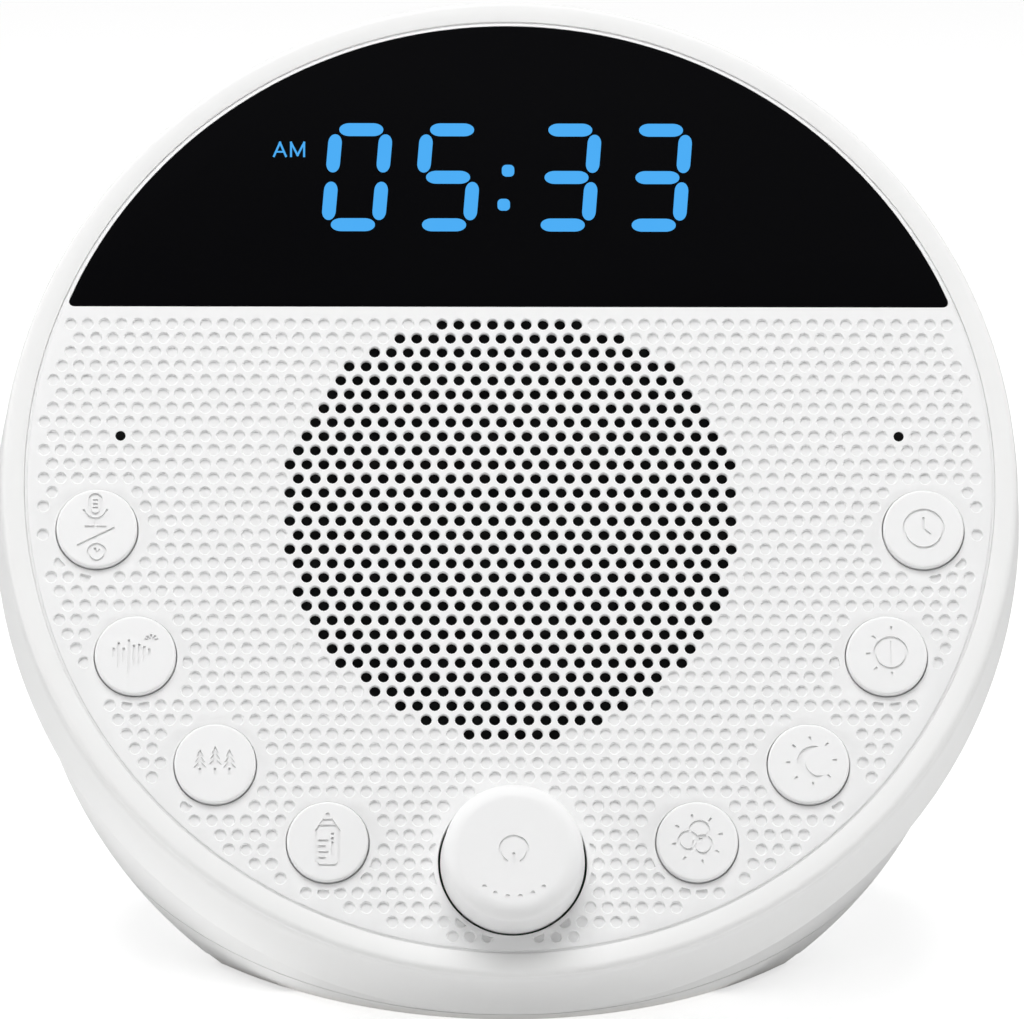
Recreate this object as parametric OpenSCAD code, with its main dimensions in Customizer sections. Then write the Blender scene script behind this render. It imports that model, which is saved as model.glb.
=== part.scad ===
// Bedside sound machine: a drum that leans back, with a clock display, a perforated speaker panel,
// eight round keys and one turn-and-press knob.
// The face frame has its origin at the face's centre, X to the right, Y up along the face and
// Z out of the face. Depths are measured back from the face. The on_face module puts it in the world.

/* [Body] */
// Angle of the face's normal above the horizontal, degrees
face_lean = 26; // [25:0.5:27]
// Radius of the bezel's outer crest
crest_r = 64.5; // [61:0.1:68]
// Height of the crest's lowest point above the table
chin = 11.13; // [10.8:0.01:11.8]
// How far the front shell's sharp rear edge flares out past the crest
flare = 1.5; // [1.1:0.1:1.9]
// Depth of the front shell
shell_depth = 15.5; // [14:0.5:17]
// How far the drum stands in from the front shell's edge
drum_step = 0.6; // [0.3:0.1:1]
// How far the drum tapers in by the rim where its domed back starts
rim_in = 2.3; // [1:0.1:3.4]
// Depth of that rim
rim_depth = 51.5; // [49:0.5:54]
// How far the domed back bulges past the rim
dome_depth = 22; // [19:0.5:25]
// Wall of the shells
wall = 2.2; // [1.6:0.1:2.6]
// Height of the small step between the bezel and the side wall
crest_step = 1; // [0.6:0.1:1.4]

/* [Base] */
// Height of the base cover's seam above the table, at the front
seam_height = 2.05; // [2:0.05:2.3]
// How steeply that seam climbs towards the back, degrees
seam_rise = 12; // [10:0.5:13]
// Gap of the seam
seam_gap = 0.2; // [0.1:0.05:0.4]
// Thickness of the night light's diffuser plate
diffuser_t = 1.2; // [0.8:0.1:1.4]
// Floor of the base cover
floor_t = 2.2; // [1.6:0.1:2.8]
// Height by which the rubber feet stand out
foot_stand = 0.5; // [0.3:0.1:0.8]
// How deep the feet sit in the diffuser plate
foot_sunk = 0.4; // [0.2:0.1:0.6]
// Radius of a rubber foot
foot_r = 3.5; // [2.5:0.1:4]
// Half the distance between the front feet
front_foot_x = 11; // [6:0.5:11]
// Half the distance between the rear feet
rear_foot_x = 20; // [16:0.5:21]
// How far behind the face's centre the front feet are
front_foot_y = 3.5; // [2.5:0.5:6]
// How far behind the face's centre the rear feet are
rear_foot_y = 34.5; // [30:0.5:34.5]

/* [Front panel] */
// Width of the bezel
bezel_w = 2.9; // [2.5:0.1:3.3]
// Gap between the bezel and the panel
groove = 0.35; // [0.2:0.05:0.6]
// Thickness of the panel
panel_t = 1.6; // [1.4:0.1:2]
// Width of the ledge that the panel rests on
ledge_w = 2.3; // [1.6:0.1:2.4]
// Thickness of that ledge
ledge_t = 1.8; // [1.4:0.1:2.2]
// Distance between neighbouring holes of the grille
hole_pitch = 2.15; // [2:0.05:2.3]
// Radius of a grille hole
hole_r = 0.74; // [0.6:0.02:0.8]
// How far the top row of holes lies below the display lens
top_row_drop = 2.47; // [2:0.01:3]
// How far the perforated field ends inside the speaker's flange
grille_in = 1.58; // [1.5:0.01:4.5]
// How far the field's centre lies below the face's centre
grille_drop = 5.4; // [5:0.1:6]

/* [Display] */
// Rim of the panel round the lens
lens_rim = 0.3; // [0.25:0.05:0.7]
// How far the lens's straight lower edge lies below the top of the speaker's flange
chord_drop = 2; // [1.4:0.1:2.3]
// Rounding of the lens's two lower corners
lens_corner = 1.2; // [0.6:0.1:2]
// Thickness of the lens
lens_t = 1; // [0.8:0.1:1.1]
// Height of the digits from the middle of the bottom bar to the middle of the top bar
digit_h = 12.85; // [11:0.05:14]
// Width of a digit between the middles of its uprights
digit_w = 6.45; // [5.5:0.05:7]
// Distance between the two digits of a pair
digit_pitch = 11.67; // [11:0.01:12.5]
// Distance between the inner digits, across the colon
colon_pitch = 15.2; // [14:0.1:16.5]
// Sideways shift of the digits
digit_x = -0.15; // [-1:0.05:1]
// Height of the digits' middle above the lens's lower edge
digit_rise = 17.3; // [16:0.1:17.8]
// Slant of the digits, degrees
digit_slant = 4.8; // [0:0.1:8]
// Thickness of a lit bar
bar_t = 1.75; // [1.2:0.05:2]
// Depth of a lit bar in the lens
bar_depth = 0.3; // [0.2:0.05:0.5]

/* [Keys] */
// Distance from the panel's edge to each key's centre
key_inset = 8.5; // [8.3:0.05:9.2]
// Angle between neighbouring keys, degrees
key_step = 18.9; // [18.6:0.1:19.5]
// Angle of the lowest key from straight down, degrees
key_first = 26; // [25:0.5:27]
// Radius of the key holes
key_hole_r = 5.25; // [5:0.05:5.3]
// Gap round each key
key_gap = 0.22; // [0.15:0.01:0.3]
// How far the keys stand out of the panel
key_stand = 0.5; // [0.3:0.1:1]
// Edge rounding of the keys
key_round = 0.4; // [0.2:0.05:0.5]
// Travel of a key
key_travel = 0.5; // [0.3:0.05:0.6]

/* [Knob] */
// Distance from the panel's edge to the knob's centre
knob_inset = 11.3; // [11.05:0.05:11.7]
// Radius of the knob
knob_r = 8.75; // [8.4:0.05:8.9]
// Gap round the knob
knob_gap = 0.62; // [0.4:0.01:0.7]
// Height of the knob above the panel
knob_h = 6.9; // [5.5:0.1:8]
// Edge rounding of the knob
knob_round = 2.15; // [1.5:0.05:2.5]
// Travel of the knob when pressed
knob_travel = 0.5; // [0.3:0.05:0.6]
// Radius of the encoder's shaft
shaft_r = 3; // [2.5:0.1:3.2]

/* [Speaker] */
// Distance from the speaker's flange to the knob's centre
speaker_clear = 14.05; // [13.6:0.05:15]
// Depth from the flange to the back of the magnet
speaker_depth = 30; // [28:0.5:32]
// Radius of the magnet
magnet_r = 20; // [16:0.5:22]
// Travel of the cone each way
cone_travel = 0.6; // [0.3:0.1:0.6]

/* [Boards] */
// Depth of the key board's front face
key_board_depth = 7; // [6.6:0.1:7.6]
// Depth of the main board's front face
main_board_depth = 42; // [40:0.5:44]
// Thickness of the boards
board_t = 1.6; // [1:0.1:1.6]
// Width of the main board
main_board_w = 64; // [56:1:68]
// Height of the main board
main_board_h = 52; // [46:1:56]
// Height of the power socket above the table
socket_z = 24; // [23:0.5:26]

/* [Hidden] */
$fn = 96;
eps = 0.01;
through = 20;
fit_gap = 0.1;
shaft_fit = 0.05;
far = 400;

white = [0.93, 0.93, 0.92];
shade_white = [0.85, 0.85, 0.85];
lens_black = [0.04, 0.04, 0.05];
lit_blue = [0.30, 0.69, 0.98];
board_green = [0.10, 0.35, 0.20];
dark = [0.15, 0.15, 0.16];
steel = [0.65, 0.66, 0.68];

edge_r = crest_r + flare;
rim_r = edge_r - drum_step - rim_in;
face_height = crest_r * cos(face_lean) + chin;
bezel_r = crest_r - bezel_w;
panel_r = bezel_r - groove;
lens_r = panel_r - lens_rim;
key_ring_r = panel_r - key_inset;
knob_drop = panel_r - knob_inset;
speaker_r = knob_drop - speaker_clear - grille_drop;
grille_r = speaker_r - grille_in;
chord_y = speaker_r - grille_drop - chord_drop;
top_row_y = chord_y - top_row_drop;
digit_y = chord_y + digit_rise;

key_count = 4;
key_r = key_hole_r - key_gap;
key_flange_r = key_r + 0.87;
key_flange_t = 1;
key_rest_gap = 0.15;
key_stem_r = 1.7;
key_dip = 0.9;
knob_hole_r = knob_r + knob_gap;
row_step = hole_pitch * sqrt(3) / 2;
grille_rows = 30;
top_row_half = 4.5 * hole_pitch;
mic_column = 23;
mic_row = 8;
mic_x = mic_column * hole_pitch;
mic_y = top_row_y - mic_row * row_step;
mic_hole_r = 0.65;
mic_r = 2;
mic_boot_r = 3;
mic_depth = 5;
window_w = 62;
window_h = 18;
lens_seat_w = 2.5;
module_in = 0.4;
module_t = 5;

cloth_t = 0.3;
gasket_t = 1;
gasket_w = 3.3;
flange_depth = panel_t + cloth_t + gasket_t;
flange_t = 1.1;
ear_r = 3.5;
ear_ring_r = speaker_r + 3;
screw_r = 1.3;
screw_head_r = 2.5;
screw_head_t = 1.6;
speaker_boss_r = 3;
magnet_plate_t = 3;
magnet_plate_r = magnet_r - 3;
pole_r = 8.6;
coil_r = 9.5;
coil_t = 0.3;
coil_gap = 0.6;
cone_in = 7.5;
surround_in = 5.5;
cone_r = speaker_r - cone_in;
cone_t = 0.5;
basket_neck_depth = speaker_depth - 14;
surround_r = speaker_r - surround_in;
surround_h = 2;

post_in = 8.25;
post_ring_r = key_ring_r - post_in;
post_angles = [16, 54, 91];
post_r = 2.2;
post_screw_r = 1.1;
post_head_r = 2.1;
key_board_w = 18.1;
key_board_gap = 0.35;
key_board_out = panel_r - ledge_w - key_board_gap;
key_board_in = key_board_out - key_board_w;
key_board_top = 8;
switch_w = 6;
switch_h = 3.3;
encoder_w = 12.4;
encoder_floor = 0.5;
encoder_well_r = shaft_r + 0.4;
plunger_t = 0.7;
shaft_in = 5;

lip_t = 1.2;
lip_h = 2;
case_inset = 6.1;
case_ring_r = rim_r - case_inset;
case_screw_angles = [73.25, 162];
case_boss_r = 3;
case_screw_r = 1.45;
case_head_r = 2.8;
case_head_t = 2.2;
case_boss_reach = 6.5;
case_boss_depth = shell_depth + case_boss_reach;
well_r = 3.3;
pillar = well_r + 1.4;
well_floor = 2;
rib_t = 2;
rib_h = shell_depth - lip_h - 1 - panel_t - ledge_t / 2;

front_reach = -(knob_h - knob_round) * cos(face_lean) - knob_round
    - (knob_drop + knob_r - knob_round) * sin(face_lean);
rear_reach = rim_depth * cos(face_lean)
    + norm([dome_depth * cos(face_lean), rim_r * sin(face_lean)]);
face_y = -(front_reach + rear_reach) / 2;
taper = (edge_r - drum_step - rim_r) / (rim_depth - shell_depth);

diffuser_z = foot_stand;
cover_z = diffuser_z + diffuser_t;
floor_z = cover_z + floor_t;
light_board_gap = 1.6;
light_boss_r = 2;
light_board_w = 40;
light_board_l = 20;
light_board_y = 20;
led_count = 3;
led_step = 12;
led_w = 2.8;

socket_w = 9;
socket_h = 3.2;
socket_l = 7.4;
inlet_w = 13;
inlet_h = 6.8;
inlet_back = 52;
inlet_wall = 1.8;
power_board_l = 12;

function drum_r(depth) = edge_r - drum_step - taper * (depth - shell_depth);
function on_ring(r, angle) = [r * sin(angle), -r * cos(angle)];
function dome_points(r, bulge, steps = 16) =
    [for (i = [0 : steps]) [r * cos(90 * i / steps), -rim_depth - bulge * sin(90 * i / steps)]];
function in_grille(x, y, row) =
    norm([x, y + grille_drop]) < grille_r && (row > 0 || abs(x) < top_row_half);
grille_points = [for (row = [0 : grille_rows - 1], col = [-15 : 15])
    let (x = (col + (row % 2) / 2) * hole_pitch, y = top_row_y - row * row_step)
    if (in_grille(x, y, row)) [x, y]];
ear_points = [for (a = [45 : 90 : 315]) on_ring(ear_ring_r, a) - [0, grille_drop]];
post_points = [for (side = [-1, 1], a = post_angles) on_ring(post_ring_r, side * a)];
case_points = [for (side = [-1, 1], a = case_screw_angles) on_ring(case_ring_r, side * a)];
board_corners = [for (x = [-1, 1], y = [-1, 1])
    [x * (main_board_w / 2 - 4), y * (main_board_h / 2 - 4)]];
seam_depth = (face_height - drum_r(0) * cos(face_lean) - seam_height)
    / (sin(face_lean) - taper * cos(face_lean));
seam_y = face_y + seam_depth * cos(face_lean) - drum_r(seam_depth) * sin(face_lean);

// Puts what is drawn in the face frame where the face is
module on_face() {
    translate([0, face_y, face_height]) rotate([90 - face_lean, 0, 0]) children();
}

// A flat piece in the face frame, from one depth to another
module plate(from, to) {
    translate([0, 0, -to]) linear_extrude(to - from) children();
}

module disc_at(point, r, from, to) {
    translate([point[0], point[1], -to]) cylinder(r = r, h = to - from);
}

module at_each(points) {
    for (p = points) translate([p[0], p[1], 0]) children();
}

// The tapering drum with its domed back, drawn smaller all round by an inset
module drum(inset = 0) {
    rotate_extrude() polygon(concat([[0, -shell_depth], [drum_r(shell_depth) - inset, -shell_depth]],
        dome_points(rim_r - inset, dome_depth - inset)));
}

// A wedge from one height above the table up to the seam plane, or to a plane a little above it
module wedge(from, lift) {
    back = far / 4;
    slope = tan(seam_rise);
    rise = seam_height + lift / cos(seam_rise);
    translate([-far / 2, seam_y, 0]) rotate([90, 0, 90]) linear_extrude(far)
        polygon([[(from - rise) / slope, from], [back, from], [back, rise + back * slope]]);
}

// All that lies below the seam plane, lifted by a distance
module below_seam(lift) {
    translate([0, seam_y, seam_height]) rotate([seam_rise, 0, 0])
        translate([-far / 2, -far / 2, lift - far]) cube(far);
}

module slab(from, to) {
    translate([-far / 2, -far / 2, from]) cube([far, far, to - from]);
}

// A screw seen from its head, pointing along +Z, with its head below the origin
module screw(head_r, head_t, r, length) {
    difference() {
        union() {
            translate([0, 0, -head_t]) cylinder(r = head_r, h = head_t);
            cylinder(r = r, h = length);
        }
        translate([0, 0, -head_t - eps]) cylinder(r = r, h = head_t / 2, $fn = 6);
    }
}

// ---- shells ----

module front_shell() {
    inner_front = crest_r - wall;
    color(white) on_face() difference() {
        union() {
            rotate_extrude() polygon([
                [bezel_r, 0], [crest_r - crest_step * 0.8, 0], [crest_r - crest_step * 0.25, -crest_step * 0.25],
                [crest_r, -crest_step], [edge_r, -shell_depth], [edge_r - wall, -shell_depth],
                [edge_r - wall, -shell_depth + lip_h + 0.5], [inner_front, -panel_t - ledge_t], [panel_r - ledge_w + 0.35, -panel_t - ledge_t],
                [panel_r - ledge_w + 0.35, -panel_t], [bezel_r, -panel_t]]);
            for (p = case_points) {
                disc_at(p, case_boss_r, panel_t + ledge_t / 2, case_boss_depth);
            }
            for (side = [-1, 1], a = case_screw_angles) {
                rotate([0, 0, side * a]) translate([-rib_t / 2, -crest_r + 0.3, -shell_depth + lip_h + 1])
                    cube([rib_t, crest_r - 0.3 - case_ring_r - case_boss_r / 2, rib_h]);
            }
        }
        for (p = case_points) disc_at(p, case_screw_r, case_boss_depth - 9, case_boss_depth + 1);
    }
}

// The rear shell's solid outline with the lip that enters the front shell
module rear_outline() {
    lip_r = edge_r - wall - fit_gap;
    rotate_extrude() polygon(concat(
        [[0, -shell_depth + lip_h], [lip_r, -shell_depth + lip_h], [lip_r, -shell_depth],
            [drum_r(shell_depth), -shell_depth]],
        dome_points(rim_r, dome_depth)));
}

module rear_hollow() {
    lip_r = edge_r - wall - fit_gap - lip_t;
    rotate_extrude() polygon(concat(
        [[0, -shell_depth + lip_h + 1], [lip_r, -shell_depth + lip_h + 1], [lip_r, -shell_depth - lip_h],
            [drum_r(shell_depth + lip_h) - wall, -shell_depth - lip_h]],
        dome_points(rim_r - wall, dome_depth - wall)));
}

module rear_shell() {
    socket_back = face_y + inlet_back;
    color(white) difference() {
        on_face() rear_outline();
        difference() {
            on_face() rear_hollow();
            on_face() for (side = [-1, 1], a = case_screw_angles) rotate([0, 0, side * a])
                translate([-pillar, -edge_r, -through * 5])
                    cube([2 * pillar, edge_r - case_ring_r + pillar, through * 5 - case_boss_depth]);
            on_face() for (p = board_corners) {
                disc_at(p, speaker_boss_r, main_board_depth + board_t, through * 5);
            }
            translate([-inlet_w / 2 - inlet_wall, socket_back - inlet_wall,
                socket_z - inlet_h / 2 - inlet_wall])
                cube([inlet_w + 2 * inlet_wall, through * 2, inlet_h + 2 * inlet_wall]);
            translate([-inlet_w / 2 - inlet_wall, socket_back - inlet_wall - power_board_l,
                socket_z - socket_h / 2 - board_t - inlet_wall])
                cube([inlet_w + 2 * inlet_wall, power_board_l + inlet_wall / 2, inlet_wall]);
        }
        below_seam(seam_gap / 2);
        on_face() for (p = case_points) {
            disc_at(p, well_r, case_boss_depth + well_floor, through * 5);
            disc_at(p, case_screw_r + fit_gap, case_boss_depth - 1, case_boss_depth + well_floor + 1);
        }
        on_face() for (p = board_corners) {
            disc_at(p, post_screw_r, main_board_depth, main_board_depth + board_t + 7);
        }
        translate([-inlet_w / 2, socket_back, socket_z - inlet_h / 2])
            cube([inlet_w, through * 2, inlet_h]);
        translate([-socket_w / 2 - fit_gap, socket_back - 2 * inlet_wall, socket_z - socket_h / 2 - fit_gap])
            cube([socket_w + 2 * fit_gap, inlet_wall * 2 + 1, socket_h + 2 * fit_gap]);
    }
}

module base_cover() {
    color(white) difference() {
        union() {
            intersection() {
                on_face() drum();
                wedge(cover_z, -seam_gap / 2);
            }
            intersection() {
                on_face() drum(wall + fit_gap);
                wedge(cover_z, lip_h);
            }
        }
        difference() {
            intersection() {
                on_face() drum(wall + fit_gap + lip_t);
                slab(floor_z, far);
            }
            light_spots() cylinder(r = light_boss_r, h = floor_z + light_board_gap);
        }
        light_windows();
    }
}

module light_spots() {
    for (x = [-1, 1], y = [-1, 1]) {
        translate([x * (light_board_w / 2 - light_boss_r), face_y + light_board_y
            + y * (light_board_l / 2 - light_boss_r), 0]) children();
    }
}

module light_windows() {
    for (x = [-1 : led_count - 2], y = [-1, 1]) {
        translate([x * led_step, face_y + light_board_y + y * light_board_l / 4, 0])
            cylinder(r = led_w, h = through);
    }
}

module light_diffuser() {
    color(shade_white) difference() {
        intersection() {
            on_face() drum(fit_gap);
            slab(diffuser_z, cover_z);
        }
        feet(-1);
    }
}

module feet(from = 0) {
    for (side = [-1, 1], p = [[front_foot_x, front_foot_y], [rear_foot_x, rear_foot_y]]) {
        translate([side * p[0], face_y + p[1], from])
            cylinder(r = foot_r, h = foot_stand + foot_sunk - from);
    }
}

module rubber_feet() {
    color(dark) feet();
}

// ---- front panel and display ----

module lens_shape(grow = 0) {
    corner = [sqrt(pow(lens_r - lens_corner, 2) - pow(chord_y + lens_corner, 2)), chord_y + lens_corner];
    out = atan2(corner[1], corner[0]);
    difference() {
        intersection() {
            circle(r = lens_r + grow);
            translate([-far / 2, chord_y - grow]) square([far, far]);
        }
        for (side = [0, 1]) mirror([side, 0, 0]) translate(corner)
            polygon([[0, 0], [0, -5], [7, -5], 5 * [cos(out), sin(out)]]);
    }
    for (side = [-1, 1]) translate([side * corner[0], corner[1]]) circle(r = lens_corner + grow);
}

module front_panel() {
    color(white) on_face() difference() {
        union() {
            plate(0, panel_t) difference() {
                circle(r = panel_r);
                for (p = grille_points) translate(p) circle(r = hole_r, $fn = 24);
                for (side = [-1, 1], i = [0 : key_count - 1]) {
                    translate(key_point(side, i)) circle(r = key_hole_r);
                }
                translate([0, -knob_drop]) circle(r = knob_hole_r);
                for (side = [-1, 1]) translate([side * mic_x, mic_y]) circle(r = mic_hole_r, $fn = 24);
                intersection() {
                    translate([-window_w / 2, digit_y - window_h / 2]) square([window_w, window_h]);
                    circle(r = lens_r - lens_seat_w);
                }
            }
            for (p = ear_points) disc_at(p, speaker_boss_r, panel_t / 2 + 0.5, flange_depth);
            for (p = post_points) disc_at(p, post_r, panel_t / 2 + 0.5, key_board_depth);
        }
        plate(-1, lens_t) lens_shape(fit_gap / 2);
        for (p = ear_points) disc_at(p, screw_r, panel_t - 0.5, flange_depth + 1);
        for (p = post_points) disc_at(p, post_screw_r, key_board_depth - 4, key_board_depth + 1);
    }
}

module display_lens() {
    color(lens_black) on_face() difference() {
        plate(0, lens_t) lens_shape();
        plate(-1, bar_depth) lit_marks();
    }
}

module display_segments() {
    color(lit_blue) on_face() plate(-eps * 2, bar_depth) lit_marks();
}

// A lit bar with round ends, centred on the origin and lying along X
module bar(length) {
    square([length - bar_t, bar_t], center = true);
    for (side = [-1, 1]) translate([side * (length - bar_t) / 2, 0]) circle(r = bar_t / 2, $fn = 24);
}

// A seven-bar digit; lit lists its bars: top, middle, bottom, then the upper and lower uprights
module digit(lit) {
    lean = tan(digit_slant);
    bar_l = digit_w - 0.95;
    upright_l = digit_h / 2 - 1.1;
    for (i = [0 : 2]) if (lit[i] == 1) {
        h = (1 - i) * digit_h / 2;
        translate([h * lean, h]) bar(bar_l);
    }
    for (i = [0 : 3]) if (lit[3 + i] == 1) {
        side = i % 2 == 0 ? -1 : 1;
        h = i < 2 ? digit_h / 4 : -digit_h / 4;
        translate([h * lean + side * digit_w / 2, h]) rotate([0, 0, 90 - digit_slant]) bar(upright_l);
    }
}

zero = [1, 0, 1, 1, 1, 1, 1];
five = [1, 1, 1, 1, 0, 0, 1];
three = [1, 1, 1, 0, 1, 0, 1];
time_shown = [zero, five, three, three];
time_x = [-colon_pitch / 2 - digit_pitch, -colon_pitch / 2, colon_pitch / 2, colon_pitch / 2 + digit_pitch];
colon_dot = 1.6;
colon_rise = 2.35;
mark_left = 8.78;
mark_rise = 3.75;
mark_x = digit_x + time_x[0] - mark_left;
mark_y = digit_y + mark_rise;
mark_h = 1.95;
mark_w = 1.7;
stroke = 0.3;

module stroke_line(a, b) {
    length = norm(b - a);
    translate((a + b) / 2) rotate([0, 0, atan2(b[1] - a[1], b[0] - a[0])])
        square([length + stroke, stroke], center = true);
}

module morning_mark() {
    half = mark_h / 2;
    translate([mark_x - mark_w * 0.65, mark_y]) {
        stroke_line([-mark_w / 2, -half], [0, half]);
        stroke_line([mark_w / 2, -half], [0, half]);
        stroke_line([-mark_w / 4, -half / 3], [mark_w / 4, -half / 3]);
    }
    translate([mark_x + mark_w * 0.65, mark_y]) {
        stroke_line([-mark_w / 2, -half], [-mark_w / 2, half]);
        stroke_line([mark_w / 2, -half], [mark_w / 2, half]);
        stroke_line([-mark_w / 2, half], [0, -half]);
        stroke_line([mark_w / 2, half], [0, -half]);
    }
}

module dot() {
    corner = colon_dot / 4;
    square([colon_dot, colon_dot - 2 * corner], center = true);
    square([colon_dot - 2 * corner, colon_dot], center = true);
    for (x = [-1, 1], y = [-1, 1]) translate([x, y] * corner) circle(r = corner, $fn = 24);
}

module lit_marks() {
    for (i = [0 : 3]) translate([digit_x + time_x[i], digit_y]) digit(time_shown[i]);
    for (side = [-1, 1]) {
        translate([digit_x + side * colon_rise * tan(digit_slant) - 0.2, digit_y - 1.4 + side * colon_rise])
            dot();
    }
    morning_mark();
}

// The display module fills its window, with a small rim that stays clear of the ledge
module module_outline() {
    intersection() {
        translate([0, digit_y]) square([window_w + 4, window_h + 2], center = true);
        circle(r = panel_r - ledge_w - module_in);
    }
}

module display_module() {
    color(dark) on_face() {
        plate(panel_t, panel_t + module_t) difference() {
            module_outline();
            for (x = time_x) translate([digit_x + x, digit_y]) square([digit_w + 2.6, digit_h + 2.4], center = true);
        }
        plate(panel_t + module_t, panel_t + module_t + board_t) module_outline();
    }
}

// ---- speaker ----

module acoustic_cloth() {
    color(dark) on_face() disc_at([0, -grille_drop], speaker_r - 0.9, panel_t, panel_t + cloth_t);
}

module ring_at_speaker(inner, outer, from, to) {
    translate([0, -grille_drop, -to]) difference() {
        cylinder(r = outer, h = to - from);
        translate([0, 0, -1]) cylinder(r = inner, h = to - from + 2);
    }
}

module speaker_gasket() {
    color(dark) on_face() ring_at_speaker(speaker_r - gasket_w, speaker_r - 0.2, panel_t + cloth_t, flange_depth);
}

module turned_at_speaker(points) {
    translate([0, -grille_drop, 0]) rotate_extrude() polygon(points);
}

module speaker_basket() {
    top = flange_depth;
    neck = flange_depth + basket_neck_depth;
    color(steel) on_face() difference() {
        union() {
            turned_at_speaker([[speaker_r - 2.9, -top], [speaker_r, -top], [speaker_r, -top - flange_t],
                [speaker_r - 1.9, -top - flange_t], [speaker_r - 1.9, -top - 4.3],
                [magnet_plate_r - 1.5, -neck], [coil_r + coil_gap + 1, -neck],
                [coil_r + coil_gap + 1, -neck + 1], [magnet_plate_r - 2.5, -neck + 1],
                [speaker_r - 2.9, -top - 3.7]]);
            for (p = ear_points) disc_at(p, ear_r, top, top + flange_t);
            for (p = ear_points) {
                translate([p[0] * 0.95, (p[1] + grille_drop) * 0.95 - grille_drop, -top - flange_t])
                    cylinder(r = ear_r * 0.9, h = flange_t);
            }
        }
        for (p = ear_points) disc_at(p, screw_r + fit_gap, top - 1, top + flange_t + 1);
    }
}

module speaker_magnet() {
    neck = flange_depth + basket_neck_depth;
    back = flange_depth + speaker_depth;
    plate_r = magnet_plate_r;
    gap_r = coil_r + coil_gap;
    color(steel) on_face() turned_at_speaker([[gap_r, -neck], [plate_r, -neck],
        [plate_r, -neck - magnet_plate_t], [magnet_r, -neck - magnet_plate_t],
        [magnet_r, -back + magnet_plate_t], [plate_r, -back + magnet_plate_t], [plate_r, -back], [0, -back],
        [0, -neck], [pole_r, -neck], [pole_r, -back + magnet_plate_t], [gap_r, -back + magnet_plate_t]]);
}

module speaker_cone() {
    top = flange_depth + 2.2;
    neck = flange_depth + basket_neck_depth - 5;
    color(dark) on_face() turned_at_speaker([[cone_r, -top], [cone_r, -top - cone_t],
        [coil_r, -neck - cone_t], [coil_r, -neck]]);
}

module speaker_dust_cap() {
    neck = flange_depth + basket_neck_depth - 5;
    rise = 3;
    color(dark) on_face() turned_at_speaker(concat(
        [for (a = [0 : 10 : 90]) [coil_r * cos(a), -neck + rise * sin(a)]],
        [for (a = [90 : -10 : 0]) [(coil_r - coil_t) * cos(a), -neck + (rise - cone_t) * sin(a)]]));
}

module speaker_surround() {
    top = flange_depth + 2.2;
    half = surround_r - cone_r;
    color(dark) on_face() turned_at_speaker(concat(
        [for (a = [180 : -15 : 0]) [surround_r + half * cos(a), -top + surround_h * sin(a)]],
        [for (a = [0 : 15 : 180])
            [surround_r + (half - cone_t * sin(a)) * cos(a), -top - cone_t + surround_h * sin(a)]]));
}

module speaker_spider() {
    depth = flange_depth + basket_neck_depth - 3.2;
    waves = 2;
    steps = waves * 8;
    inner = coil_r;
    outer = inner + 5.4;
    span = outer - inner;
    color([0.75, 0.55, 0.25]) on_face() turned_at_speaker(concat(
        [for (i = [0 : steps]) [inner + span * i / steps, -depth + 0.5 * sin(360 * waves * i / steps)]],
        [for (i = [steps : -1 : 0]) [inner + span * i / steps, -depth - 0.4 + 0.5 * sin(360 * waves * i / steps)]]));
}

module voice_coil() {
    neck = flange_depth + basket_neck_depth - 5;
    color([0.75, 0.40, 0.20]) on_face() ring_at_speaker(coil_r - coil_t, coil_r, neck, neck + 12);
}

module speaker_screws() {
    color(steel) on_face() for (p = ear_points) {
        translate([p[0], p[1], -flange_depth - flange_t])
            screw(screw_head_r, screw_head_t, screw_r, flange_depth + flange_t - panel_t);
    }
}

// ---- keys ----

function key_point(side, index) = on_ring(key_ring_r, side * (key_first + key_step * index));

module key(side, index) {
    flange = panel_t + key_rest_gap;
    stem = key_board_depth - switch_h + key_dip;
    color(white) on_face() translate(key_point(side, index)) {
        rotate_extrude() {
            translate([0, -flange]) square([key_r - key_round, flange + key_stand]);
            translate([0, -flange]) square([key_r, flange + key_stand - key_round]);
            intersection() {
                translate([key_r - key_round, key_stand - key_round]) circle(r = key_round, $fn = 32);
                square([key_r + 1, key_stand]);
            }
        }
        translate([0, 0, -flange - key_flange_t]) cylinder(r = key_flange_r, h = key_flange_t);
        translate([0, 0, -stem]) cylinder(r = key_stem_r, h = stem - flange);
    }
}

module key_voice_alarm() key(-1, 3);
module key_sounds() key(-1, 2);
module key_forest() key(-1, 1);
module key_feeding() key(-1, 0);
module key_clock() key(1, 3);
module key_sun() key(1, 2);
module key_moon() key(1, 1);
module key_colours() key(1, 0);

module key_board() {
    color(board_green) on_face() plate(key_board_depth, key_board_depth + board_t) difference() {
        circle(r = key_board_out);
        circle(r = key_board_in);
        translate([-far / 2, key_board_top]) square([far, far]);
        for (p = post_points) translate(p) circle(r = post_screw_r + fit_gap);
        for (p = case_points) translate(p) circle(r = case_boss_r + 0.5);
    }
}

module key_switches() {
    color(dark) on_face() for (side = [-1, 1], i = [0 : key_count - 1]) {
        translate(key_point(side, i)) difference() {
            translate([-switch_w / 2, -switch_w / 2, -key_board_depth])
                cube([switch_w, switch_w, switch_h]);
            translate([0, 0, -key_board_depth + switch_h - key_dip - key_travel - 0.2])
                cylinder(r = key_stem_r + fit_gap, h = through);
        }
    }
}

module key_board_screws() {
    color(steel) on_face() for (p = post_points) {
        translate([p[0], p[1], -key_board_depth - board_t])
            screw(post_head_r, 1.3, post_screw_r, board_t + 3.5);
    }
}

// ---- knob and encoder ----

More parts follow.
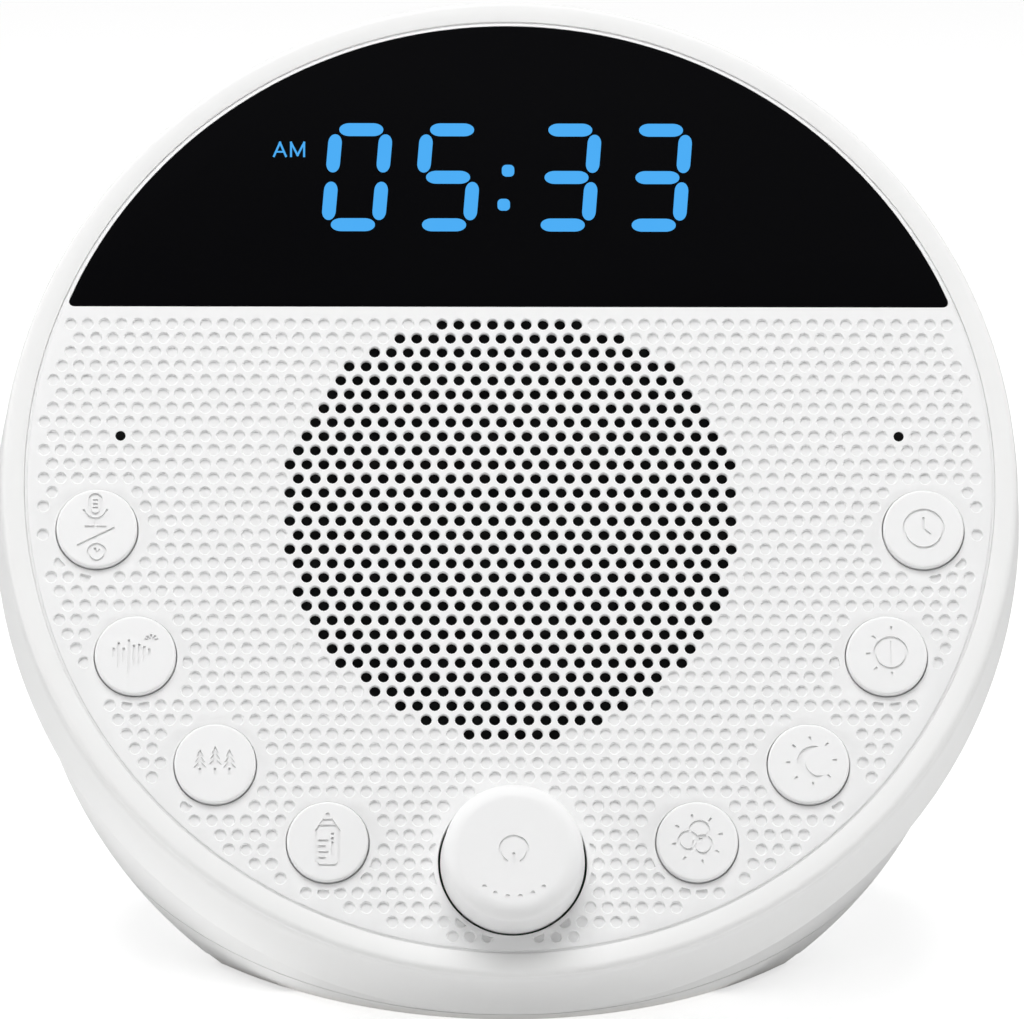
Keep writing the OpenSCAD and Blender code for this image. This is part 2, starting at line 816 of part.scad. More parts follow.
module control_knob() {
    skirt = 0.8;
    cap_t = 1.6;
    side_t = 1.3;
    hub_r = shaft_r + 1.3;
    hub_end = 0.4;
    color(white) on_face() translate([0, -knob_drop, 0]) rotate_extrude() difference() {
        union() {
            translate([0, -skirt]) square([knob_r - knob_round, skirt + knob_h]);
            translate([0, -skirt]) square([knob_r, skirt + knob_h - knob_round]);
            intersection() {
                translate([knob_r - knob_round, knob_h - knob_round]) circle(r = knob_round);
                square([knob_r + 1, knob_h]);
            }
        }
        translate([hub_r, -skirt - 1]) square([knob_r - side_t - hub_r, skirt + 1 + knob_h - cap_t - 0.6]);
        translate([-1, -skirt - 1]) square([hub_r + 1.5, skirt + 1 + hub_end]);
        translate([-1, -skirt - 1]) square([shaft_r + shaft_fit + 1, skirt + 1 + shaft_in]);
    }
}

encoder_top = panel_t + 0.6;
plunger_depth = key_board_depth - encoder_floor - knob_travel - 0.1;

module encoder_shaft() {
    color(steel) on_face() translate([0, -knob_drop, -plunger_depth + plunger_t])
        cylinder(r = shaft_r, h = plunger_depth - plunger_t + shaft_in);
}

module encoder_plunger() {
    color(shade_white) on_face() translate([0, -knob_drop, -plunger_depth])
        cylinder(r = shaft_r - 0.2, h = plunger_t);
}

module encoder_body() {
    color(steel) on_face() translate([0, -knob_drop, -key_board_depth]) difference() {
        translate([-encoder_w / 2, -encoder_w / 2, 0])
            cube([encoder_w, encoder_w, key_board_depth - encoder_top]);
        translate([0, 0, encoder_floor]) cylinder(r = shaft_r + shaft_fit, h = through);
        translate([0, 0, encoder_floor]) cylinder(r = encoder_well_r, h = knob_travel + plunger_t + 0.6);
    }
}

// ---- boards, microphones and leads ----

module microphones() {
    color(steel) on_face() for (side = [-1, 1]) {
        disc_at([side * mic_x, mic_y], mic_r, panel_t + 0.5, panel_t + mic_depth - 1);
    }
}

module microphone_boots() {
    color(dark) on_face() for (side = [-1, 1]) {
        difference() {
            disc_at([side * mic_x, mic_y], mic_boot_r, panel_t, panel_t + mic_depth);
            disc_at([side * mic_x, mic_y], mic_hole_r, panel_t - 1, panel_t + 1);
            disc_at([side * mic_x, mic_y], mic_r, panel_t + 0.5, panel_t + mic_depth - 1);
        }
    }
}

module main_board() {
    color(board_green) on_face() plate(main_board_depth, main_board_depth + board_t) difference() {
        square([main_board_w, main_board_h], center = true);
        for (p = board_corners) translate(p) circle(r = post_screw_r + fit_gap);
    }
}

module chip(x, y, w, h, t) {
    translate([x - w / 2, y - h / 2, -main_board_depth]) cube([w, h, t]);
}

module main_chips() {
    color(dark) on_face() {
        chip(-14, 8, 12, 12, 1.2);
        chip(8, 10, 9, 7, 1.4);
        chip(-4, -12, 7, 5, 1.2);
        chip(17, -10, 6, 6, 1);
        translate([21, 6, -main_board_depth]) cylinder(r = 3, h = 6);
        translate([-25, -10, -main_board_depth]) cylinder(r = 2.5, h = 5);
    }
}

module main_board_screws() {
    color(steel) on_face() for (p = board_corners) {
        translate([p[0], p[1], -main_board_depth]) rotate([180, 0, 0])
            screw(post_head_r, 1.3, post_screw_r, board_t + 5);
    }
}

module ribbon_cable() {
    width = 12;
    t = 0.4;
    top = key_board_depth + board_t;
    end = main_board_depth + board_t;
    edge_y = -key_board_in - 3;
    board_y = -main_board_h / 2 + 3;
    color(shade_white) on_face() translate([width / 2, 0, 0]) rotate([0, -90, 0]) linear_extrude(width)
        polygon([[-top, edge_y], [-top, edge_y + t], [-end - 2 + t, edge_y + t], [-end - 2 + t, board_y - t],
            [-end, board_y - t], [-end, board_y], [-end - 2, board_y], [-end - 2, edge_y]]);
}

module speaker_leads() {
    lead_r = 0.6;
    start = flange_depth + speaker_depth - magnet_plate_t - 1;
    color([0.7, 0.1, 0.1]) on_face() for (side = [-1, 1]) {
        disc_at([side * 2, -grille_drop + magnet_r + lead_r], lead_r, start, main_board_depth);
    }
}

module power_socket() {
    color(steel) translate([0, face_y + inlet_back - socket_l, socket_z - socket_h / 2]) difference() {
        translate([-socket_w / 2, 0, 0]) cube([socket_w, socket_l - 0.1, socket_h]);
        translate([-socket_w / 2 + 0.3, 1.4, 0.3]) cube([socket_w - 0.6, socket_l, socket_h - 0.6]);
    }
    color(dark) translate([-3.3, face_y + inlet_back - socket_l + 1.4 - eps, socket_z - 0.35])
        cube([6.6, socket_l - 2.4, 0.7]);
}

module power_board() {
    back = face_y + inlet_back - inlet_wall;
    color(board_green) translate([-inlet_w / 2 - inlet_wall, back - power_board_l, socket_z - socket_h / 2 - board_t])
        cube([inlet_w + 2 * inlet_wall, power_board_l, board_t]);
}

module case_screws() {
    color(steel) on_face() for (p = case_points) {
        translate([p[0], p[1], -case_boss_depth - well_floor])
            screw(case_head_r, case_head_t, case_screw_r, well_floor + 8);
    }
}

module light_board() {
    color(white) translate([-light_board_w / 2, face_y + light_board_y - light_board_l / 2, floor_z + light_board_gap])
        cube([light_board_w, light_board_l, board_t]);
}

module light_leds() {
    color([0.95, 0.9, 0.6]) for (x = [-1 : led_count - 2], y = [-1, 1]) {
        translate([x * led_step - led_w / 2, face_y + light_board_y + y * light_board_l / 4 - led_w / 2,
            floor_z + light_board_gap - 1])
            cube([led_w, led_w, 1]);
    }
}

front_shell();
front_panel();
display_lens();
display_segments();
display_module();
acoustic_cloth();
speaker_gasket();
speaker_basket();
speaker_magnet();
speaker_cone();
speaker_dust_cap();
speaker_surround();
speaker_spider();
voice_coil();
speaker_screws();
key_voice_alarm();
key_sounds();
key_forest();
key_feeding();
key_clock();
key_sun();
key_moon();
key_colours();
key_board();
key_switches();
key_board_screws();
control_knob();
encoder_shaft();
encoder_plunger();
encoder_body();
microphones();
microphone_boots();
main_board();
main_chips();
main_board_screws();
ribbon_cable();
speaker_leads();
power_socket();
power_board();
rear_shell();
case_screws();
base_cover();
light_board();
light_leds();
light_diffuser();
rubber_feet();
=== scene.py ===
# %% [markdown]
# # A bedside sound machine that leans back
#
# The object is a short drum, cut flat underneath, whose face looks up at whoever lies in bed. The face
# carries a dark clock window, a perforated speaker panel, eight round keys and one knob. The engineering
# model comes in first as a fixed frame, and every piece made here is laid over it in the same metres, so
# nothing has to be fitted by eye.

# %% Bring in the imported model
import math

import bmesh
import bpy
from mathutils import Matrix, Vector


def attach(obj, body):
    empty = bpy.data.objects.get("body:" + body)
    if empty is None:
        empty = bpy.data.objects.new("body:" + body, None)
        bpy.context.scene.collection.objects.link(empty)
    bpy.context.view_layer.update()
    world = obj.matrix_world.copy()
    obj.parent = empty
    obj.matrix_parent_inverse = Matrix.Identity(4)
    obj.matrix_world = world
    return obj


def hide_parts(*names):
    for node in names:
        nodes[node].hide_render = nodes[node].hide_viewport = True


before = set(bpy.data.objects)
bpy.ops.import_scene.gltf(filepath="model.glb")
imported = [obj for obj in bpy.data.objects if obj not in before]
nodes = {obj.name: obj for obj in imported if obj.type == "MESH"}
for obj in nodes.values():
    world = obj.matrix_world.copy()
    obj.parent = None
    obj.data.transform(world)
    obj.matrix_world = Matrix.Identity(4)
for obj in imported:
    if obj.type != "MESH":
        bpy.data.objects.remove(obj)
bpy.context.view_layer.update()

# %% [markdown]
# ## One frame for the face
#
# Nearly everything sits on the face, which leans 26 degrees back. It could be modelled leaning, but then
# no circle would be a plain circle. So each piece is modelled flat, with X to the right, Y up the face and
# Z out of it, in millimetres times MM, and one matrix then seats it where the engineering model has it.

# %% The face's matrix
MM = 0.001
LEAN = math.radians(26)
FACE_Y = -24.54
FACE_HEIGHT = 69.102
FACE = Matrix.Translation((0, FACE_Y * MM, FACE_HEIGHT * MM)) @ Matrix.Rotation(math.pi / 2 - LEAN, 4, "X")
print("face centre", tuple(round(v, 4) for v in FACE.translation))

# %% [markdown]
# ## The camera
#
# The photograph was taken with a long lens from about a metre away, a little below the face's normal. The
# rows of holes in the grille are a ruler in perspective, and the camera's distance, lens and turn were
# solved from them. The camera is therefore placed by its numbers and not by hand.

# %% Place the camera
TILT, SWING, ROLL = math.radians(16.21), math.radians(1.363), math.radians(-0.051)
to_camera = (
    Matrix(((math.cos(ROLL), -math.sin(ROLL), 0), (math.sin(ROLL), math.cos(ROLL), 0), (0, 0, 1)))
    @ Matrix(((math.cos(SWING), 0, math.sin(SWING)), (0, 1, 0), (-math.sin(SWING), 0, math.cos(SWING))))
    @ Matrix(((1, 0, 0), (0, math.cos(TILT), math.sin(TILT)), (0, -math.sin(TILT), math.cos(TILT))))
)
grille_top = Vector((-0.094, 20.632, 0))
seen_at = Vector((-0.43, 23.63, -990.1))
eye = grille_top - to_camera.transposed() @ seen_at
camera = bpy.data.objects.new("camera", bpy.data.cameras.new("camera"))
bpy.context.scene.collection.objects.link(camera)
camera.data.lens = 272.8
camera.data.sensor_width = 36
camera.data.clip_start = 0.05
camera.data.dof.use_dof = False
camera.matrix_world = FACE @ Matrix.Translation(eye * MM) @ to_camera.transposed().to_4x4()
bpy.context.scene.camera = camera
print("camera", tuple(round(v, 4) for v in camera.matrix_world.translation))

# %% [markdown]
# ## Working by hand, in code
#
# Blender's operators act on whatever is selected. A small set of helpers keeps that under control: one adds
# a primitive on its own and sets its size at once, one opens edit mode, and one picks faces, edges or
# vertices by where they are.

# %% Helpers for picking and editing
class editing:
    def __init__(self, piece):
        self.piece = piece

    def __enter__(self):
        bpy.ops.object.select_all(action="DESELECT")
        self.piece.select_set(True)
        bpy.context.view_layer.objects.active = self.piece
        bpy.ops.object.mode_set(mode="EDIT")
        return self.piece

    def __exit__(self, *_):
        bpy.ops.object.mode_set(mode="OBJECT")


def add(operator, name, **sizes):
    bpy.ops.object.select_all(action="DESELECT")
    operator(**sizes)
    piece = bpy.context.object
    piece.name = piece.data.name = name
    bpy.ops.object.transform_apply(location=True, rotation=True, scale=True)
    return piece


def pick(piece, kind, test):
    mesh = bmesh.from_edit_mesh(piece.data)
    for item in [*mesh.faces, *mesh.edges, *mesh.verts]:
        item.select_set(False)
    mode = {"verts": "VERT", "edges": "EDGE", "faces": "FACE"}[kind]
    bpy.context.tool_settings.mesh_select_mode = tuple(m == mode for m in ("VERT", "EDGE", "FACE"))
    chosen = [item for item in getattr(mesh, kind) if test(item)]
    for item in chosen:
        item.select_set(True)
    bmesh.update_edit_mesh(piece.data)
    return len(chosen)


def tidy_mesh(piece, gap=2e-6):
    with editing(piece):
        bpy.ops.mesh.select_all(action="SELECT")
        bpy.ops.mesh.remove_doubles(threshold=gap)
        bpy.ops.mesh.normals_make_consistent(inside=False)
    return piece


def smooth(piece, angle=30):
    bpy.ops.object.select_all(action="DESELECT")
    piece.select_set(True)
    bpy.context.view_layer.objects.active = piece
    bpy.ops.object.shade_smooth_by_angle(angle=math.radians(angle))
    return piece


def join(name, pieces):
    bpy.ops.object.select_all(action="DESELECT")
    for piece in pieces:
        piece.select_set(True)
    bpy.context.view_layer.objects.active = pieces[0]
    if len(pieces) > 1:
        bpy.ops.object.join()
    pieces[0].name = pieces[0].data.name = name
    return pieces[0]


def shift(piece, x, y, z=0.0):
    """Move a piece's mesh by so many millimetres and leave its origin."""
    piece.data.transform(Matrix.Translation((x * MM, y * MM, z * MM)))
    return piece


def copy_to(piece, x=0.0, y=0.0):
    twin = piece.copy()
    twin.data = piece.data.copy()
    bpy.context.scene.collection.objects.link(twin)
    return shift(twin, x, y)


def drop(piece):
    mesh = piece.data
    bpy.data.objects.remove(piece)
    bpy.data.meshes.remove(mesh)


def apply_modifier(piece, kind, **settings):
    modifier = piece.modifiers.new(kind.lower(), kind)
    for key, value in settings.items():
        setattr(modifier, key, value)
    bpy.ops.object.select_all(action="DESELECT")
    bpy.context.view_layer.objects.active = piece
    piece.select_set(True)
    bpy.ops.object.modifier_apply(modifier=modifier.name)
    return piece


def count(piece):
    piece.data.calc_loop_triangles()
    return len(piece.data.loop_triangles)


# %% [markdown]
# ## A lathe made of extrudes
#
# Bezel, shells, keys, knob and feet are all turned shapes. Each could be spun from a drawn profile, but a
# spin leaves a seam and poles to mend. Here a circle is extruded ring by ring and resized after each step,
# which gives the same surface with even quads and lets each radius be read straight from the list.

# %% The lathe
def lathe(name, profile, around=96, closed=False):
    piece = add(bpy.ops.mesh.primitive_circle_add, name, vertices=around, radius=profile[0][0] * MM,
                location=(0, 0, profile[0][1] * MM), fill_type="NOTHING" if closed else "NGON")
    with editing(piece):
        bpy.ops.mesh.select_all(action="SELECT")
        if not closed:
            bpy.ops.mesh.region_to_loop()
        bpy.context.tool_settings.mesh_select_mode = (False, True, False)
        for (r0, z0), (r, z) in zip(profile, profile[1:]):
            bpy.ops.mesh.extrude_region_move(TRANSFORM_OT_translate={"value": (0, 0, (z - z0) * MM)})
            if abs(r - r0) > 1e-9:
                bpy.ops.transform.resize(value=(r / r0, r / r0, 1), center_override=(0, 0, 0))
        if not closed:
            bpy.ops.mesh.edge_face_add()
    return tidy_mesh(piece)


def arc(cx, cz, r, start, end, steps):
    turns = [math.radians(start + (end - start) * i / steps) for i in range(steps + 1)]
    return [(cx + r * math.cos(turn), cz + r * math.sin(turn)) for turn in turns]


def seat(piece, node_names, body):
    piece.data.transform(FACE)
    return ride(piece, node_names, body)


def ride(piece, node_names, body):
    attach(piece, body)
    if node_names:
        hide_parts(*node_names)
    print(piece.name, "on", body, count(piece), "triangles")
    return piece


# %% [markdown]
# ## Bezel and side wall
#
# The front shell is one moulding: a flat bezel about 2 mm wide, a rounded crest, and a side wall that flares
# to a sharp rear edge. It is a closed turned profile, so the lathe makes outside, ledge and inside in one
# pass. The small round at the crest and the tiny ones at the two edges are what catches the light.

# %% Turn the front shell
SHELL_DEPTH = 15.5
bezel = [(61.6, -1.6), (61.6, -0.14), (61.64, -0.04), (61.74, 0.0), (63.6, 0.0)]
crest = arc(63.65, -0.85, 0.85, 88, -40, 10)
crease = [(64.2, -1.6), (64.3, -1.85), (64.55, -2.15), (64.72, -2.6), (64.82, -3.4)]
flare = [(65.28, -8.5), (65.93, 0.4 - SHELL_DEPTH), (65.97, 0.12 - SHELL_DEPTH), (65.9, -SHELL_DEPTH)]
inside = [(63.85, -SHELL_DEPTH), (63.8, -13.0), (62.3, -3.4)]
ledge = [(59.35, -3.4), (59.35, -1.6), (61.6, -1.6)]
shell_profile = bezel + crest + crease + flare + inside + ledge
front_shell = lathe("bezel_and_side", shell_profile, around=240, closed=True)
smooth(front_shell, 32)
seat(front_shell, ["front_shell"], "housing")

# %% [markdown]
# ## The drum behind it
#
# Behind the sharp edge the drum steps in by half a millimetre, tapers and ends in a low dome. Three
# mouldings share this one surface: the rear shell above a slanting seam, the base cover under it and the
# night light's plate at the foot. Each is turned from the same profile and then cut by planes with bisect,
# which keeps them flush.

# %% Turn the drum and set its planes
DRUM_R, RIM_R, RIM_DEPTH, DOME = 65.4, 63.1, 51.5, 22.0
TAPER = (DRUM_R - RIM_R) / (RIM_DEPTH - SHELL_DEPTH)


def drum(name, inset=0.0, lead=0.0):
    start = [(DRUM_R - inset, lead - SHELL_DEPTH)] if lead else []
    side = [(DRUM_R - inset - TAPER * d, -SHELL_DEPTH - d) for d in (0.0, 4, 9, 14, 19, 24, 29, 33, 35.4)]
    turns = [math.radians(a) for a in (2, 5, 9, 14, 20, 27, 35, 44, 54, 64, 74, 82)]
    radius, bulge = RIM_R - inset, DOME - inset
    dome = [(radius * math.cos(turn), -RIM_DEPTH - bulge * math.sin(turn)) for turn in turns]
    end = (3.2, -RIM_DEPTH - bulge * 0.9987)
    return lathe(name, start + side + dome + [end], around=240)


def cut(piece, point, normal, keep_below=False):
    with editing(piece):
        bpy.ops.mesh.select_all(action="SELECT")
        bpy.ops.mesh.bisect(plane_co=point, plane_no=normal, use_fill=True,
                            clear_outer=keep_below, clear_inner=not keep_below)
    return piece


SEAM_HEIGHT, SEAM_RISE, HALF_GAP = 2.05, math.radians(12), 0.1 * MM
height_at_face = FACE_HEIGHT - (DRUM_R + TAPER * SHELL_DEPTH) * math.cos(LEAN)
seam_depth = (height_at_face - SEAM_HEIGHT) / (math.sin(LEAN) - TAPER * math.cos(LEAN))
seam_r = DRUM_R - TAPER * (seam_depth - SHELL_DEPTH)
SEAM = Vector((0, (FACE_Y + seam_depth * math.cos(LEAN) - seam_r * math.sin(LEAN)) * MM, SEAM_HEIGHT * MM))
SEAM_NORMAL = Vector((0, -math.sin(SEAM_RISE), math.cos(SEAM_RISE)))
print("seam crosses the bottom at depth", round(seam_depth, 2), "mm")

# %% [markdown]
# ## Rear shell
#
# The rear shell keeps what lies above the seam. Its back has a pocket for the power plug, a smaller mouth in
# the pocket's floor where the socket shows, and four screw wells. They could be modelled face by face, but a
# boolean cut with bevelled blocks and four plain pins follows the dome by itself. The shell is then hollowed
# with a smaller drum, out of which the walls of the pocket and of the wells were cut first.

# %% Cut the rear shell
POCKET_Z, POCKET_FLOOR, POCKET_LONG = 24, 52, 40
WELL_RING, WELL_ANGLES, WELL_LONG = 57, (73.25, 162), 60


def block(name, floor, size):
    """A level block whose front end lies so deep behind the face, as seen along the ground."""
    wide, long, high = size
    return add(bpy.ops.mesh.primitive_cube_add, name, size=1,
               location=(0, (FACE_Y + floor + long / 2) * MM, POCKET_Z * MM),
               scale=(wide * MM, long * MM, high * MM))


def well_pins(radius, depth):
    """Four pins along the drum's axis that reach so deep, one for each case screw."""
    pins = []
    for turn in [math.radians(side * angle) for side in (-1, 1) for angle in WELL_ANGLES]:
        pin = add(bpy.ops.mesh.primitive_cylinder_add, "pin", vertices=40, radius=radius * MM,
                  depth=WELL_LONG * MM)
        shift(pin, WELL_RING * math.sin(turn), -WELL_RING * math.cos(turn), -depth - WELL_LONG / 2)
        pin.data.transform(FACE)
        pins.append(pin)
    return pins


def combine(piece, operation, tool):
    apply_modifier(piece, "BOOLEAN", operation=operation, object=tool, solver="EXACT")
    drop(tool)
    return piece


rear_shell = drum("rear_shell_skin")
rear_shell.data.transform(FACE)
cut(rear_shell, SEAM + SEAM_NORMAL * HALF_GAP, SEAM_NORMAL)
pocket = block("pocket_cutter", POCKET_FLOOR, (13, POCKET_LONG, 6.8))
mouth = block("mouth_cutter", POCKET_FLOOR - 9, (9.3, 18, 3.5))
for cutter, corner in ((pocket, 1.4), (mouth, 0.5)):
    with editing(cutter):
        pick(cutter, "edges", lambda e: abs((e.verts[0].co - e.verts[1].co).y) > 0.01)
        bpy.ops.mesh.bevel(offset=corner * MM, segments=5, affect="EDGES")
combine(pocket, "UNION", mouth)
combine(rear_shell, "DIFFERENCE", join("rear_cutters", [pocket] + well_pins(3.3, 24)))

hollow = drum("hollow", 2.0, lead=2.0)
hollow.data.transform(FACE)
walls = [block("pocket_walls", POCKET_FLOOR - 1.2, (15.4, POCKET_LONG, 9.2))] + well_pins(4.6, 22.6)
combine(hollow, "DIFFERENCE", join("kept_walls", walls))
combine(rear_shell, "DIFFERENCE", hollow)
tidy_mesh(rear_shell)
smooth(rear_shell, 28)
ride(rear_shell, ["rear_shell"], "housing")

# %% [markdown]
# ## Base cover, night light plate and feet
#
# Under the seam sits the base cover, and under that a milky plate 1.2 mm thick, which shows as a thin pale
# line along the foot. Both are the same drum between two planes. The plate stands 0.1 mm inside the cover,
# so the joint between them stays visible. Four rubber feet carry it all.

# %% Cut the bottom pieces and turn the feet
LEVEL = Vector((0, 0, 1))
base_cover = drum("base_cover_skin")
base_cover.data.transform(FACE)
cut(base_cover, SEAM - SEAM_NORMAL * HALF_GAP, SEAM_NORMAL, keep_below=True)
cut(base_cover, LEVEL * 1.72 * MM, LEVEL)
tidy_mesh(base_cover)
smooth(base_cover, 28)
ride(base_cover, ["base_cover"], "housing")

diffuser = drum("night_light_plate", 0.1)
diffuser.data.transform(FACE)
cut(diffuser, LEVEL * 1.7 * MM, LEVEL, keep_below=True)
cut(diffuser, LEVEL * 0.5 * MM, LEVEL)
tidy_mesh(diffuser)
smooth(diffuser, 28)
ride(diffuser, ["light_diffuser"], "housing")

foot = lathe("foot", [(2.9, 0.0), (3.3, 0.02), (3.46, 0.1), (3.5, 0.25), (3.5, 0.88)], around=48)
feet = [copy_to(foot, side * x, FACE_Y + y) for side in (-1, 1) for x, y in ((11, 3.5), (20, 34.5))]
drop(foot)
feet = smooth(join("rubber_feet_skin", feet), 40)
ride(feet, ["rubber_feet"], "housing")

# %% [markdown]
# ## The perforated panel
#
# The panel carries 645 through holes inside a circle and about a thousand shallow dimples over the rest, all
# on one triangular lattice. A bump pattern would look flat from the side, and 1,700 boolean cuts would take
# minutes. So one hexagonal cell with a hole and one with a dimple are modelled by hand, from a twelve-sided
# disc that is inset and pushed in, and copied to the lattice. Their edges meet and merge into one sheet.

# %% Model the lattice cells
PITCH = 2.15
ROW = PITCH * math.sqrt(3) / 2
PANEL = 1.6


def select_edges():
    bpy.context.tool_settings.mesh_select_mode = (False, True, False)
    bpy.ops.mesh.select_all(action="SELECT")


def pull(z, scale):
    bpy.ops.mesh.extrude_region_move(TRANSFORM_OT_translate={"value": (0, 0, z * MM)})
    bpy.ops.transform.resize(value=(scale, scale, 1), center_override=(0, 0, 0))


def hexagon(piece):
    """Move every second vertex of a selected twelve-sided rim out to a hexagon's corner."""
    mesh = bmesh.from_edit_mesh(piece.data)
    turn, ratio = math.pi / 3, 1 / math.cos(math.pi / 6)
    for vert in mesh.verts:
        angle = (math.atan2(vert.co.y, vert.co.x) - math.pi / 2) % turn
        if vert.select and min(angle, turn - angle) < 0.05:
            vert.co.x *= ratio
            vert.co.y *= ratio
    bmesh.update_edit_mesh(piece.data)


def cell(name, rings, through, flange=True):
    """A hexagonal cell: rings lists (radius, depth) from the rim inwards."""
    start = PITCH / 2 if flange else rings[0][0]
    piece = add(bpy.ops.mesh.primitive_circle_add, name, vertices=12, radius=start * MM, fill_type="NOTHING")
    with editing(piece):
        select_edges()
        radius, depth = start, 0.0
        for r, z in (rings if flange else rings[1:]):
            pull(z - depth, r / radius)
            radius, depth = r, z
        if not through:
            bpy.ops.mesh.edge_face_add()
        if flange:
            pick(piece, "verts", lambda v: abs(v.co.z) < 1e-7 and v.co.xy.length > 0.99 * PITCH / 2 * MM)
            hexagon(piece)
    return piece


def bottom(piece, hole_r):
    """A through cell's share of the panel's back."""
    back = add(bpy.ops.mesh.primitive_circle_add, "back", vertices=12, radius=PITCH / 2 * MM,
               location=(0, 0, -PANEL * MM), fill_type="NOTHING")
    with editing(back):
        select_edges()
        pull(0, hole_r * 2 / PITCH)
        pick(back, "verts", lambda v: v.co.xy.length > 0.99 * PITCH / 2 * MM)
        hexagon(back)
        bpy.ops.mesh.select_all(action="SELECT")
        bpy.ops.mesh.flip_normals()
    return join(piece.name, [piece, back])


HOLE = [(0.82, 0.0), (0.72, -0.08), (0.72, -0.75), (0.98, -PANEL)]
DIMPLE = [(0.83, 0.0), (0.78, -0.05), (0.66, -0.35)]
MIC = [(0.72, 0.0), (0.66, -0.05), (0.66, -PANEL)]
hole_cell = bottom(cell("hole_cell", HOLE, True), HOLE[-1][0])
mic_cell = bottom(cell("mic_cell", MIC, True), MIC[-1][0])
dimple_cell = cell("dimple_cell", DIMPLE, False)
loose_dimple = cell("loose_dimple", DIMPLE, False, flange=False)
print("cells", count(hole_cell), count(dimple_cell), count(loose_dimple))

# %% [markdown]
# ## Where each cell goes
#
# The holes fill a circle, the dimples fill the rest of the panel up to a margin, and both make way for the
# keys and the knob. A dimple that comes too close to a key is cut along a circle round it. Such cut ones
# can't share the hexagonal sheet, so they stand alone and the flat plate closes up round them. Two cells
# of the ninth row are the microphones' ports.

# %% Sort the lattice
KEY_RING, KEY_ANGLES = 52.75, [26 + 18.9 * i for i in range(4)]
key_spots = [(side * KEY_RING * math.sin(math.radians(a)), -KEY_RING * math.cos(math.radians(a)))
             for side in (-1, 1) for a in KEY_ANGLES]
KNOB_SPOT = (0.0, -49.95)
TOP_ROW, LATTICE_R = 20.63, 59.95
GRILLE_DROP, GRILLE_R, TOP_ROW_HALF = 5.4, 28.92, 9.6
MIC_ROW, MIC_COLUMN = 8, 23
KEY_BARE, KEY_CUT = 6.24, 6.9
KNOB_BARE, KNOB_CUT = 9.76, 10.9


def kind_of_cell(row, x, y):
    """What stands at a lattice point, or None where the panel is left bare."""
    to_key = min(math.dist((x, y), spot) for spot in key_spots)
    to_knob = math.dist((x, y), KNOB_SPOT)
    if math.hypot(x, y) > LATTICE_R or to_key < KEY_BARE or to_knob < KNOB_BARE:
        return None
    if math.hypot(x, y + GRILLE_DROP) < GRILLE_R and (row or abs(x) < TOP_ROW_HALF):
        return "hole"
    if row == MIC_ROW and abs(abs(x) - MIC_COLUMN * PITCH) < 0.1:
        return "mic"
    return "loose" if to_key < KEY_CUT or to_knob < KNOB_CUT else "dimple"


spots = {"hole": [], "dimple": [], "mic": [], "loose": []}
for row in range(45):
    for col in range(-30, 31):
        x, y = (col + (row % 2) / 2) * PITCH, TOP_ROW - row * ROW
        kind = kind_of_cell(row, x, y)
        if kind:
            spots[kind].append((x, y))
print({kind: len(found) for kind, found in spots.items()})

# %% [markdown]
# ## Lay the cells and close the plate
#
# The copies are joined and merged. The outlines of the panel, of the window's recess, of the keys' holes and
# of the knob's hole are circles with their own rounded edges, and Fill then closes the flat area between all
# these loops, on the front and on the back.

# %% Lay the lattice
def outline(name, centre, profile, around):
    ring = add(bpy.ops.mesh.primitive_circle_add, name, vertices=around, radius=profile[0][0] * MM,
               location=(0, 0, profile[0][1] * MM), fill_type="NOTHING")
    with editing(ring):
        select_edges()
        for (r0, z0), (r, z) in zip(profile, profile[1:]):
            pull(z - z0, r / r0)
    return shift(ring, *centre)


KEY_CLEAR, KNOB_CLEAR = 6.02, 9.92
tiles = []
for kind, tile in (("hole", hole_cell), ("dimple", dimple_cell), ("mic", mic_cell)):
    tiles += [copy_to(tile, x, y) for x, y in spots[kind]]
for x, y in spots["loose"]:
    loose = copy_to(loose_dimple, x, y)
    for centre, clear in [(spot, KEY_CLEAR) for spot in key_spots] + [(KNOB_SPOT, KNOB_CLEAR)]:
        for vert in loose.data.vertices:
            away = Vector((vert.co.x - centre[0] * MM, vert.co.y - centre[1] * MM))
            if away.length < clear * MM:
                away = away.normalized() * clear * MM
                vert.co.x, vert.co.y = centre[0] * MM + away.x, centre[1] * MM + away.y
    tiles.append(loose)
sheet = tidy_mesh(join("face_panel", tiles), 5e-6)
for used in (hole_cell, dimple_cell, mic_cell, loose_dimple):
    drop(used)
print("sheet", count(sheet))

# %% Add the outlines and fill
LENS_R, CHORD, CORNER = 60.95, 23.0, 0.75


def window_loop(name, grow=0.0):
    """The window's outline: a circle cut by a straight chord, its two corners rounded."""
    loop = add(bpy.ops.mesh.primitive_circle_add, name, vertices=240, radius=(LENS_R + grow) * MM,
               fill_type="NGON")
    with editing(loop):
        bpy.ops.mesh.select_all(action="SELECT")
        bpy.ops.mesh.bisect(plane_co=(0, (CHORD - grow) * MM, 0), plane_no=(0, 1, 0), clear_inner=True)
        near_corner = (CHORD - grow + 0.02) * MM, (CHORD - grow + 2.6) * MM
        pick(loop, "verts", lambda v: near_corner[0] < v.co.y < near_corner[1])
        bpy.ops.mesh.dissolve_verts()
        pick(loop, "verts", lambda v: v.co.y < near_corner[0])
        bpy.ops.mesh.bevel(offset=CORNER * 1.49 * MM, segments=8, affect="VERTICES")
    return loop


def push_faces(z):
    bpy.ops.mesh.select_all(action="SELECT")
    bpy.context.tool_settings.mesh_select_mode = (False, False, True)
    bpy.ops.mesh.extrude_region_move(TRANSFORM_OT_translate={"value": (0, 0, z * MM)})


